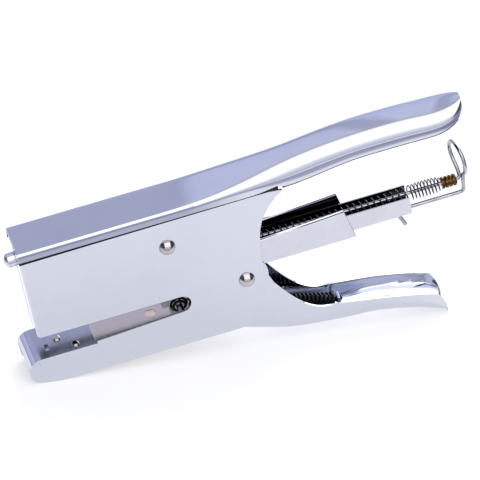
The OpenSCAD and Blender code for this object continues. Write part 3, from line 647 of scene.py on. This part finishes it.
def wind(
    bm: bmesh.types.BMesh,
    wire_r: float,
    coil_r: float,
    windings: Iterable[Winding],
    steps: int = 18,
    sides: int = 8,
) -> float:
    """Winds a helical wire along x from the origin.

    Args:
        bm: The mesh that gets the wire.
        wire_r: Radius of the wire.
        coil_r: Radius of the coil at the wire's middle.
        windings: The stretches, one after the other.
        steps: Steps in one turn.
        sides: Sides of the wire.

    Returns:
        The length of the wound part.
    """
    edges = start_tube(bm, wire_r, sides, Matrix.Translation((0, coil_r, 0)))
    run = 0.0
    for winding in windings:
        spun = bmesh.ops.spin(
            bm,
            geom=edges,
            cent=(run, 0, 0),
            axis=(1, 0, 0),
            dvec=(winding.pitch / steps, 0, 0),
            angle=math.tau * winding.turns,
            steps=steps * winding.turns,
            use_merge=False,
        )
        edges = [e for e in spun["geom_last"] if isinstance(e, bmesh.types.BMEdge)]
        run += winding.turns * winding.pitch
    bmesh.ops.edgeloop_fill(bm, edges=edges)
    bmesh.ops.recalc_face_normals(bm, faces=bm.faces[:])
    return run


def bent_wire(
    bm: bmesh.types.BMesh,
    wire_r: float,
    loop_r: float,
    centre: Vector,
    degrees: float,
    sides: int = 8,
    steps: int = 24,
) -> None:
    """Bends an open wire eye in the x-z plane.

    Args:
        bm: The mesh that gets the eye.
        wire_r: Radius of the wire.
        loop_r: Radius of the eye at the wire's middle.
        centre: Centre of the eye.
        degrees: How far the wire goes round.
        sides: Sides of the wire.
        steps: Steps round the eye.
    """
    start = Matrix.Translation(centre + Vector((0, 0, -loop_r)))
    upright = Matrix.Rotation(math.radians(90), 4, "Y")
    edges = start_tube(bm, wire_r, sides, start @ upright)
    spun = bmesh.ops.spin(
        bm,
        geom=edges,
        cent=centre,
        axis=(0, 1, 0),
        angle=math.radians(degrees),
        steps=steps,
        use_merge=False,
    )
    last = [e for e in spun["geom_last"] if isinstance(e, bmesh.types.BMEdge)]
    bmesh.ops.edgeloop_fill(bm, edges=last)
    bmesh.ops.recalc_face_normals(bm, faces=bm.faces[:])


@dataclass
class FixedFrame:
    """The cover, the side plates and what they hold.

    Attributes:
        plate_edge: Rounding of the plates' cut edges.
        small_edge: Rounding of the small parts' edges.
        rim_depth: Depth below a rim from which a face belongs to the inside.
        hem_shadow_line: Height of the painted shadow strip under the handle's hem.
        hem_shadow_front: Height of the painted shadow strip at the cover's front.
        hem_shadow_fade: Length over which the strip falls from the one to the other.
        nick: Where the nick in the hem starts and ends, behind the nose. The painted shadow strip fills it, for
            the shade inside.
        fold_clears: Where the painted shade on the cover's fold is clear, and where it starts to clear.
        fold_facing: Least share of y in the normal of the cover's folded sides.
        lip_facing: Least shares of x and y in the normals of the anvil's lip and sides.
        hem_facing: Least share of z in the normal of the hem's under side.
    """

    plate_edge: float = 0.25
    small_edge: float = 0.15
    rim_depth: float = 20.0
    hem_shadow_line: float = 0.45
    hem_shadow_front: float = 1.3
    hem_shadow_fade: float = 105.0
    nick: tuple[float, float] = (104.0, 120.5)
    fold_clears: tuple[float, float] = (108.0, 74.0)
    fold_facing: float = 0.85
    lip_facing: tuple[float, float] = (0.4, 0.7)
    hem_facing: float = 0.8

    def build(self) -> None:
        """Dresses the frame's pieces."""
        for node in ("side_plate_left", "side_plate_right"):
            piece = soften(node, CHROME, self.plate_edge)
            line_inside(piece, UNBUFFED, Mouth.UP, self.rim_depth)
        handle = smooth_shell("upper_handle", CHROME, levels=2)
        # Painted shade: the cover's inner faces are made nearly black.
        line_inside(handle, SHADED_INSIDE_SHEET, Mouth.DOWN, 0.0)
        self.paint_fold_shade(handle)
        # Painted shadow: a dark strip under the hem.
        self.lay_hem_shadow()
        soften("nose_stud", CHROME, self.small_edge)
        # Painted reflection: the rivet heads' colour is darkened.
        for node in ("cross_rivet", "pivot_rivet", "anvil_rivets"):
            soften(node, RIVET_NICKEL_PAINTED_REFLECTION, self.small_edge)
        for node in ("nose_block", "cross_spacer", "pivot_spacer", "spring_pin"):
            soften(node, ZINC, self.small_edge)
        soften("jaw_channel", JAW_NICKEL, self.small_edge)
        # Painted shade on the anvil's top, painted highlight on its lip and sides.
        self.paint_lip_highlight(soften("anvil", ANVIL_NICKEL_SHADED, self.small_edge))

    def paint_fold_shade(self, handle: bpy.types.Object) -> None:
        """Gives the cover's folded sides a dimmer chrome as painted shade, which clears towards the handle.

        Args:
            handle: The piece of the cover and upper handle.
        """
        # The fold's film colour is a painted shade.
        fold = replace(
            CHROME,
            name="painted_shade_chrome_fold",
            film=SHADED_WALL_CHROME.metal,
            haze=SHADED_WALL_CHROME.haze,
            shade_span=tuple(HEAD.point(x, 0, 0).x for x in self.fold_clears),
        )
        dim = add_finish(handle, fold)
        for face, centre, normal in faces_in_head(handle):
            is_outside = normal.y * centre.y > self.fold_facing * abs(centre.y)
            if is_outside and centre.x < self.fold_clears[0]:
                face.material_index = dim

    def paint_lip_highlight(self, anvil: bpy.types.Object) -> None:
        """Gives the anvil's rolled lip and its sides a brighter chrome as a painted highlight, for the white floor
        that they mirror.

        Args:
            anvil: The anvil's piece.
        """
        bright = add_finish(anvil, CHROME)
        for face, _, normal in faces_in_head(anvil):
            if normal.x < -self.lip_facing[0] or abs(normal.y) > self.lip_facing[1]:
                face.material_index = bright

    def lay_hem_shadow(self) -> None:
        """Lays a dark strip under the hem of the cover and its handle, as painted shadow for the shade in the gap
        under it.
        """
        bm = node_copy("upper_handle")
        to_head = HEAD.matrix().inverted()
        turn = to_head.to_3x3().normalized()
        others = [face for face in bm.faces if (turn @ face.normal).z > -self.hem_facing]
        bmesh.ops.delete(bm, geom=others, context="FACES")
        grown = bmesh.ops.extrude_face_region(bm, geom=bm.faces[:])["geom"]
        verts = [v for v in grown if isinstance(v, bmesh.types.BMVert)]
        down = HEAD.matrix().to_3x3() @ Vector((0, 0, -1))
        for vert in verts:
            place = to_head @ vert.co
            share = max(1 - place.x / self.hem_shadow_fade, 0.0)
            drop = self.hem_shadow_line + share * (self.hem_shadow_front - self.hem_shadow_line)
            if self.nick[0] < place.x < self.nick[1]:
                drop += max(place.z, 0.0)
            vert.co += down * drop
        bmesh.ops.recalc_face_normals(bm, faces=bm.faces[:])
        # The strip's dark finish is painted shadow.
        piece = keep_mesh(bm, "hem_painted_shadow", HEM_SHADOW_STRIP)
        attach(piece, BODY_OF["upper_handle"])
        LOG.info("%s rides under the upper handle", piece.name)


@dataclass
class Lever:
    """The lever arms with the lower handle and the spring's tab.

    Attributes:
        arm_edge: Rounding of the arms' cut edges.
        no_floor: A depth below the handle's rim that no face reaches.
        wall_lean: Most that the trough's dim walls lean, as the share of z in their normals.
    """

    arm_edge: float = 0.18
    no_floor: float = 200.0
    wall_lean: float = 0.27

    def build(self) -> None:
        """Dresses the lever's pieces."""
        seam_z = head_box("lever_arm_left")[0].z
        for node in ("lever_arm_left", "lever_arm_right"):
            soften(node, CHROME, self.arm_edge, flush_z=seam_z)
        soften("spring_tab", CHROME, self.arm_edge)
        handle = smooth_shell("lower_handle", CHROME, levels=2)
        # Painted shade: the trough's walls get the dim chrome.
        line_inside(handle, SHADED_WALL_CHROME, Mouth.UP, self.no_floor, lean=self.wall_lean)


@dataclass
class Driver:
    """The driver blade and its forked ears.

    Attributes:
        edge: Rounding of the ground edges.
    """

    edge: float = 0.1

    def build(self) -> None:
        """Dresses the driver's pieces."""
        for node in ("driver_blade", "driver_ears"):
            soften(node, STEEL, self.edge)


@dataclass
class Magazine:
    """The staple magazine's housing, gate and studs.

    Attributes:
        edge: Rounding of the thin sheet's edges.
        rim_depth: Depth below a rim from which a face belongs to the inside.
        bead_r: Radius of the rolled bead along each wall's upper edge.
        bead_l: Length of the bead.
        rise_l: Length over which the walls rise towards the rear.
        rise: How far the walls rise.
        slant: How far the walls' upper ends stop short of the floor's.
        bead_sides: Sides of the bead.
    """

    edge: float = 0.12
    rim_depth: float = 6.0
    bead_r: float = 0.75
    bead_l: float = 48.5
    rise_l: float = 41.3
    rise: float = 2.8
    slant: float = 3.5
    bead_sides: int = 16

    def build(self) -> None:
        """Dresses the magazine's pieces."""
        housing = soften("magazine_housing", NICKEL, self.edge)
        # Painted shade: the housing's inner faces are made nearly black.
        line_inside(housing, SHADED_INSIDE_SHEET, Mouth.UP, self.rim_depth)
        soften("staple_gate", NICKEL, self.edge)
        soften("lift_studs", ZINC, self.edge)
        for name, side in (("left", 1), ("right", -1)):
            self.bead(f"housing_bead_{name}", side)

    def bead(self, name: str, side: int) -> None:
        """Rolls the bead along one wall's upper edge.

        Args:
            name: The piece's name.
            side: 1 for the left wall, -1 for the right one.
        """
        high = head_box("magazine_housing")[1]
        y = side * (high.y - self.bead_r)
        back, top = high.x - self.slant, high.z - self.bead_r / 2
        route = [
            Vector((back - self.bead_l, y, top - self.rise)),
            Vector((back - self.rise_l, y, top - self.rise)),
            Vector((back, y, top)),
        ]
        bm = bmesh.new()
        upright = Matrix.Rotation(math.radians(90), 4, "Y")
        start = Matrix.Translation(route[0])
        edges = start_tube(bm, self.bead_r, self.bead_sides, start @ upright)
        for here, there in zip(route, route[1:]):
            grown = bmesh.ops.extrude_edge_only(bm, edges=edges)["geom"]
            verts = [v for v in grown if isinstance(v, bmesh.types.BMVert)]
            bmesh.ops.translate(bm, vec=there - here, verts=verts)
            edges = [
                e
                for e in grown
                if isinstance(e, bmesh.types.BMEdge) and all(v in verts for v in e.verts)
            ]
        bmesh.ops.edgeloop_fill(bm, edges=edges)
        bmesh.ops.recalc_face_normals(bm, faces=bm.faces[:])
        bmesh.ops.transform(bm, matrix=HEAD.matrix(), verts=bm.verts[:])
        piece = keep_mesh(bm, name, NICKEL)
        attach(piece, BODY_OF["magazine_housing"])
        LOG.info("%s rides on the magazine", name)


@dataclass
class Feeder:
    """The feeder channel, its pull wire and sleeve, the pusher and the pusher's spring.

    Attributes:
        edge: Rounding of the thin sheet's edges.
        rim_depth: Depth below a rim from which a face belongs to the inside.
        wire_r: Radius of the spring's wire.
        coil_r: Radius of the coil at the wire's middle, inside the channel.
        swell: Growth of the coil where it swells between the channel and the sleeve.
        swell_l: Length of the stretch that swells.
        close_turns: Turns that crowd in front of the sleeve.
        close_pitch: Advance of a crowded turn.
        open_turns: Turns along the rest of the rod.
    """

    edge: float = 0.12
    rim_depth: float = 4.0
    wire_r: float = 0.27
    coil_r: float = 2.3
    swell: float = 0.5
    swell_l: float = 26.0
    close_turns: int = 9
    close_pitch: float = 1.55
    open_turns: int = 55

    def build(self) -> None:
        """Dresses the feeder's pieces and winds its spring."""
        channel = soften("feeder_channel", NICKEL, self.edge)
        # Painted shade: the channel's inner faces are made nearly black.
        line_inside(channel, SHADED_INSIDE_SHEET, Mouth.UP, self.rim_depth)
        smooth_shell("pull_wire", STEEL, levels=1)
        soften("brass_sleeve", BRASS, self.edge)
        soften("staple_pusher", STEEL, self.edge)
        self.spring()

    def spring(self) -> None:
        """Winds the pusher's spring from the sleeve forwards."""
        sleeve, pusher = head_box("brass_sleeve"), head_box("staple_pusher")
        rod_z = (sleeve[0].z + sleeve[1].z) / 2
        start = Vector((sleeve[0].x, 0, rod_z))
        end = Vector((pusher[1].x, 0, rod_z))
        close_l = self.close_turns * self.close_pitch
        span = (end - start).length - 2 * self.wire_r
        bm = bmesh.new()
        wind(
            bm,
            self.wire_r,
            self.coil_r,
            (
                Winding(self.close_turns, self.close_pitch),
                Winding(self.open_turns, (span - close_l) / self.open_turns),
            ),
        )
        for vert in bm.verts:
            share = min(max(vert.co.x / self.swell_l, 0.0), 1.0)
            growth = 1 + self.swell * math.sin(math.pi * math.sqrt(share))
            vert.co.yz = vert.co.yz * growth
        bmesh.ops.translate(bm, vec=(self.wire_r, 0, 0), verts=bm.verts[:])
        lay_along(bm, start, end)
        piece = keep_mesh(bm, "pusher_spring_wound", SPRING_WIRE)
        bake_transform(piece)
        stand_for(piece, "pusher_spring")


@dataclass
class ReturnSpring:
    """The black spring from the pin behind the throat to the lower handle's tab.

    Attributes:
        hook_up: Height of the hook over the tab's middle.
        wire_r: Radius of the spring's wire.
        coil_r: Radius of the coil at the wire's middle.
        turns: Number of turns.
        eye_r: Radius of the double eye's inner turn, at the wire's middle.
        eye_step: Growth of the eye's outer turn, in radii of the wire.
        eye_l: Length of the end that is bent to the double eye.
        hook_l: Length of the end that is bent to a hook through the tab.
        eye_degrees: How far the eye and the hook go round.
    """

    hook_up: float = 2.2
    wire_r: float = 0.6
    coil_r: float = 2.6
    turns: int = 36
    eye_r: float = 2.7
    eye_step: float = 1.4
    eye_l: float = 4.2
    hook_l: float = 1.9
    eye_degrees: float = 330.0

    def build(self) -> None:
        """Winds the spring, bends its double eye and its hook."""
        anchor, hook = (
            (low + high) / 2
            for low, high in (head_box("spring_pin"), head_box("spring_tab"))
        )
        hook.z += self.hook_up
        length = (hook - anchor).length
        wound = length - self.eye_l - self.hook_l
        bm = bmesh.new()
        wind(bm, self.wire_r, self.coil_r, (Winding(self.turns, wound / self.turns),))
        bmesh.ops.translate(bm, vec=(self.eye_l, 0, 0), verts=bm.verts[:])
        for side, loop_r in ((-1, self.eye_r), (1, self.eye_r + self.eye_step * self.wire_r)):
            centre = Vector((0, side * self.wire_r, 0))
            bent_wire(bm, self.wire_r, loop_r, centre, self.eye_degrees)
        hook_r = self.hook_l - self.wire_r
        bent_wire(bm, self.wire_r, hook_r, Vector((length, 0, 0)), self.eye_degrees)
        lay_along(bm, anchor, hook)
        piece = keep_mesh(bm, "return_spring_wound", BLACK_OXIDE)
        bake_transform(piece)
        stand_for(piece, "return_spring")


@dataclass
class Studio:
    """A white floor, a soft sky round it and the camera.

    Attributes:
        floor_size: Side of the square floor, in metres.
        aim: The point in the middle of the picture, in metres.
        azimuth: Turn of the camera from straight in front, in degrees.
        elevation: Height of the camera over the horizon, in degrees.
        roll: Turn of the camera about its own line of sight, in degrees.
        distance: Distance of the camera, in metres. It is long, so lines stay parallel.
        picture_width: Width of the view at the aim point, in metres.
        aim_right: How far right of the aim point the camera looks, in metres.
        aim_down: How far below the aim point the camera looks, in metres.
        glow: Light that the lit board gives off itself, which keeps shadows faint.
        front_fade: Distances in front of the middle between which the painted pool of light goes dark, in metres.
        front_least: Share of the light that is left in front.
        far_glow: Distances in front of the middle between which the painted light comes back far in front, in
            metres.
        side_fade: Distances beside the middle between which the painted pool of light goes dark, in metres.
        board: Colours of the board where it is dark and where it is lit.
        board_roughness: Roughness of the board.
        sky_stops: Colours of the sky, from the horizon behind over the top to the one in front.
        lift_stops: How much brighter the sky behind is, from left to right over lift_span.
        lift_span: Shares of x in the direction, at the lift's two ends.
        rear_rise: How fast the sky behind takes over, as y grows.
        card: Shares of x between which a white card behind comes up.
        card_light: Light of the card.
        dark_ends: Shares of x between which the sky goes dark at both ends.
        dark_ends_back: How much further out the dark starts behind.
        dark_least: Share of the light that is left at both ends.
    """

    floor_size: float = 8.0
    aim: tuple[float, float, float] = (0.0, 0.0, 0.058)
    azimuth: float = -16.68
    elevation: float = 39.36
    roll: float = 1.61
    distance: float = 6.0
    picture_width: float = 0.21136
    aim_right: float = 0.00261
    aim_down: float = 0.00118
    glow: float = 0.53
    front_fade: tuple[float, float] = (0.112, 0.19)
    front_least: float = 0.25
    far_glow: tuple[float, float] = (1.2, 0.2)
    side_fade: tuple[float, float] = (0.17, 0.3)
    board: tuple[str, str] = ("#8A8AA0", "#B9B9BE")
    board_roughness: float = 0.9
    sky_stops: tuple[tuple[float, tuple[float, ...]], ...] = (
        (0.0, (0.44, 0.46, 0.66, 1)),
        (0.22, (0.55, 0.575, 0.77, 1)),
        (0.36, (0.56, 0.58, 0.73, 1)),
        (0.47, (0.6, 0.62, 0.72, 1)),
        (0.53, (1.9, 1.9, 1.93, 1)),
        (0.8, (1.9, 1.9, 1.93, 1)),
        (0.87, (1.15, 1.15, 1.22, 1)),
        (0.94, (0.88, 0.87, 0.98, 1)),
        (1.0, (0.76, 0.75, 0.86, 1)),
    )
    lift_stops: tuple[tuple[float, float], ...] = (
        (0.14, 0.36), (0.3, 0.34), (0.4, 0.0), (0.5, 0.0), (0.58, 0.38),
    )
    lift_span: tuple[float, float] = (-0.25, 0.25)
    rear_rise: float = 3.0
    card: tuple[float, float] = (0.16, 0.25)
    card_light: float = 2.6
    dark_ends: tuple[float, float] = (0.5, 0.72)
    dark_ends_back: float = 0.4
    dark_least: float = 0.06

    def build(self) -> None:
        """Builds the floor, the sky and the camera."""
        self.floor()
        self.sky()
        self.camera()
        bpy.context.scene.view_settings.view_transform = "Standard"

    def floor(self) -> None:
        """Lays the floor under the tool: a white board that glows as if lit from below, with a painted pool of
        light that darkens it towards the front and the sides.
        """
        bm = bmesh.new()
        bmesh.ops.create_grid(bm, x_segments=1, y_segments=1, size=self.floor_size / 2)
        mesh = bpy.data.meshes.new("studio_floor")
        bm.to_mesh(mesh)
        bm.free()
        material = bpy.data.materials.new("white_board_painted_light_pool")
        material.use_nodes = True
        tree = material.node_tree
        shader = tree.nodes["Principled BSDF"]
        where = add_node(tree, "ShaderNodeTexCoord").outputs["Object"]
        turn = math.radians(self.azimuth)
        ahead = (math.sin(turn), -math.cos(turn), 0)
        lit = self.fade(tree, where, ahead, self.front_fade, self.front_least)
        for sign in (1, -1):
            aside = (sign * math.cos(turn), sign * math.sin(turn), 0)
            edge = self.fade(tree, where, aside, self.side_fade, least=0.0)
            lit = add_node(
                tree, "ShaderNodeMath", {"operation": "MULTIPLY"}, {0: lit, 1: edge}
            ).outputs["Value"]
        far = self.fade(tree, where, ahead, self.far_glow, least=0.0)
        lit = add_node(
            tree, "ShaderNodeMath", {"operation": "MAXIMUM"}, {0: lit, 1: far}
        ).outputs["Value"]
        board = add_node(
            tree,
            "ShaderNodeMix",
            {"data_type": "RGBA"},
            {"Factor": lit, "A": linear(self.board[0]), "B": linear(self.board[1])},
        )
        light = add_node(
            tree, "ShaderNodeMath", {"operation": "MULTIPLY"}, {0: lit, 1: self.glow}
        )
        tree.links.new(board.outputs["Result"], shader.inputs["Base Color"])
        tree.links.new(light.outputs["Value"], shader.inputs["Emission Strength"])
        shader.inputs["Roughness"].default_value = self.board_roughness
        shader.inputs["Specular IOR Level"].default_value = 0.0
        shader.inputs["Emission Color"].default_value = linear("#FFFFFF")
        mesh.materials.append(material)
        floor = bpy.data.objects.new("studio_floor", mesh)
        bpy.context.scene.collection.objects.link(floor)

    @staticmethod
    def fade(
        tree: bpy.types.NodeTree,
        where: bpy.types.NodeSocket,
        direction: tuple[float, float, float],
        span: tuple[float, float],
        least: float,
    ) -> bpy.types.NodeSocket:
        """Fades light along a direction.

        Args:
            tree: The node tree that gets the nodes.
            where: The position on the board.
            direction: The direction, one unit long.
            span: Distances between which the fade goes.
            least: Share of the light that is left beyond it.

        Returns:
            The socket with the fade.
        """
        along = add_node(
            tree, "ShaderNodeVectorMath", {"operation": "DOT_PRODUCT"}, {0: where, 1: direction}
        )
        return add_node(
            tree,
            "ShaderNodeMapRange",
            {"interpolation_type": "SMOOTHSTEP"},
            {
                "Value": along.outputs["Value"],
                "From Min": span[0],
                "From Max": span[1],
                "To Min": 1.0,
                "To Max": least,
            },
        ).outputs["Result"]

    def sky(self) -> None:
        """Wraps the floor in a soft sky: lavender behind, white in front, dark at both ends."""
        world = bpy.data.worlds.new("soft_studio")
        bpy.context.scene.world = world
        world.use_nodes = True
        tree = world.node_tree
        tree.nodes.clear()
        where = add_node(tree, "ShaderNodeTexCoord").outputs["Generated"]
        parts = add_node(tree, "ShaderNodeSeparateXYZ", inputs={"Vector": where}).outputs
        behind = add_node(
            tree, "ShaderNodeMath", {"operation": "MAXIMUM"}, {0: parts["Y"], 1: 0.0}
        ).outputs["Value"]
        rear = add_node(
            tree,
            "ShaderNodeMath",
            {"operation": "MULTIPLY", "use_clamp": True},
            {0: behind, 1: self.rear_rise},
        ).outputs["Value"]
        strength = add_node(
            tree,
            "ShaderNodeMath",
            {"operation": "MULTIPLY"},
            {0: self.sky_lift(tree, parts, rear), 1: self.sky_ends(tree, parts, behind)},
        )
        light = add_node(
            tree,
            "ShaderNodeBackground",
            inputs={
                "Color": self.sky_colour(tree, parts, rear),
                "Strength": strength.outputs["Value"],
            },
        )
        add_node(tree, "ShaderNodeOutputWorld", inputs={"Surface": light.outputs["Background"]})

    def sky_colour(
        self,
        tree: bpy.types.NodeTree,
        parts: bpy.types.NodeOutputs,
        rear: bpy.types.NodeSocket,
    ) -> bpy.types.NodeSocket:
        """Colours the sky from back to front and hangs the white card behind.

        Args:
            tree: The world's node tree.
            parts: The direction's x, y and z.
            rear: How far the direction is behind, up to 1.

        Returns:
            The socket with the colour.
        """
        angle = add_node(
            tree, "ShaderNodeMath", {"operation": "ARCTAN2"}, {0: parts["Z"], 1: parts["Y"]}
        )
        share = add_node(
            tree, "ShaderNodeMath", {"operation": "DIVIDE"}, {0: angle.outputs["Value"], 1: math.pi}
        )
        ramp = add_node(tree, "ShaderNodeValToRGB", inputs={"Fac": share.outputs["Value"]})
        fill_ramp(ramp.color_ramp, self.sky_stops)
        card = add_node(
            tree,
            "ShaderNodeMapRange",
            {"interpolation_type": "SMOOTHSTEP"},
            {"Value": parts["X"], "From Min": self.card[0], "From Max": self.card[1]},
        )
        card_behind = add_node(
            tree,
            "ShaderNodeMath",
            {"operation": "MULTIPLY", "use_clamp": True},
            {0: card.outputs["Result"], 1: rear},
        )
        return add_node(
            tree,
            "ShaderNodeMix",
            {"data_type": "RGBA"},
            {
                "Factor": card_behind.outputs["Value"],
                "A": ramp.outputs["Color"],
                "B": (self.card_light, self.card_light, self.card_light, 1),
            },
        ).outputs["Result"]

    def sky_lift(
        self,
        tree: bpy.types.NodeTree,
        parts: bpy.types.NodeOutputs,
        rear: bpy.types.NodeSocket,
    ) -> bpy.types.NodeSocket:
        """Brightens the sky behind by its place across.

        Args:
            tree: The world's node tree.
            parts: The direction's x, y and z.
            rear: How far the direction is behind, up to 1.

        Returns:
            The socket with the strength, from 1.
        """
        across = add_node(
            tree,
            "ShaderNodeMapRange",
            inputs={
                "Value": parts["X"],
                "From Min": self.lift_span[0],
                "From Max": self.lift_span[1],
            },
        )
        lift = add_node(tree, "ShaderNodeValToRGB", inputs={"Fac": across.outputs["Result"]})
        fill_ramp(
            lift.color_ramp,
            [(place, (light, light, light, 1)) for place, light in self.lift_stops],
        )
        return add_node(
            tree,
            "ShaderNodeMath",
            {"operation": "MULTIPLY_ADD"},
            {0: lift.outputs["Color"], 1: rear, 2: 1.0},
        ).outputs["Value"]

    def sky_ends(
        self,
        tree: bpy.types.NodeTree,
        parts: bpy.types.NodeOutputs,
        behind: bpy.types.NodeSocket,
    ) -> bpy.types.NodeSocket:
        """Darkens the sky towards both ends of the tool.

        Args:
            tree: The world's node tree.
            parts: The direction's x, y and z.
            behind: The direction's y where it is behind, or 0.

        Returns:
            The socket with the share of the light that is left.
        """
        aside = add_node(tree, "ShaderNodeMath", {"operation": "ABSOLUTE"}, {0: parts["X"]})
        in_front = add_node(
            tree,
            "ShaderNodeMath",
            {"operation": "MULTIPLY_ADD"},
            {0: behind, 1: -self.dark_ends_back, 2: aside.outputs["Value"]},
        )
        return add_node(
            tree,
            "ShaderNodeMapRange",
            {"interpolation_type": "SMOOTHSTEP"},
            {
                "Value": in_front.outputs["Value"],
                "From Min": self.dark_ends[0],
                "From Max": self.dark_ends[1],
                "To Min": 1.0,
                "To Max": self.dark_least,
            },
        ).outputs["Result"]

    def camera(self) -> None:
        """Sets the camera at the photograph's angle."""
        azimuth, elevation = math.radians(self.azimuth), math.radians(self.elevation)
        outward = Vector(
            (
                math.sin(azimuth) * math.cos(elevation),
                -math.cos(azimuth) * math.cos(elevation),
                math.sin(elevation),
            )
        )
        data = bpy.data.cameras.new("camera")
        data.lens = data.sensor_width * self.distance / self.picture_width
        data.clip_end = 4 * self.distance
        camera = bpy.data.objects.new("camera", data)
        level = outward.to_track_quat("Z", "Y")
        turn = level @ Quaternion((0, 0, 1), math.radians(self.roll))
        aim = Vector(self.aim) + turn @ Vector((self.aim_right, -self.aim_down, 0))
        camera.location = aim + self.distance * outward
        camera.rotation_mode = "QUATERNION"
        camera.rotation_quaternion = turn
        bpy.context.scene.collection.objects.link(camera)
        bpy.context.scene.camera = camera


def main() -> None:
    """Builds the sub-assemblies and the studio in order."""
    logging.basicConfig(level=logging.INFO, format="%(name)s: %(message)s")
    for assembly in (
        FixedFrame(), Lever(), Driver(), Magazine(), Feeder(), ReturnSpring(), Studio(),
    ):
        assembly.build()
        LOG.info("built %s", type(assembly).__name__)


if __name__ == "__main__":
    main()
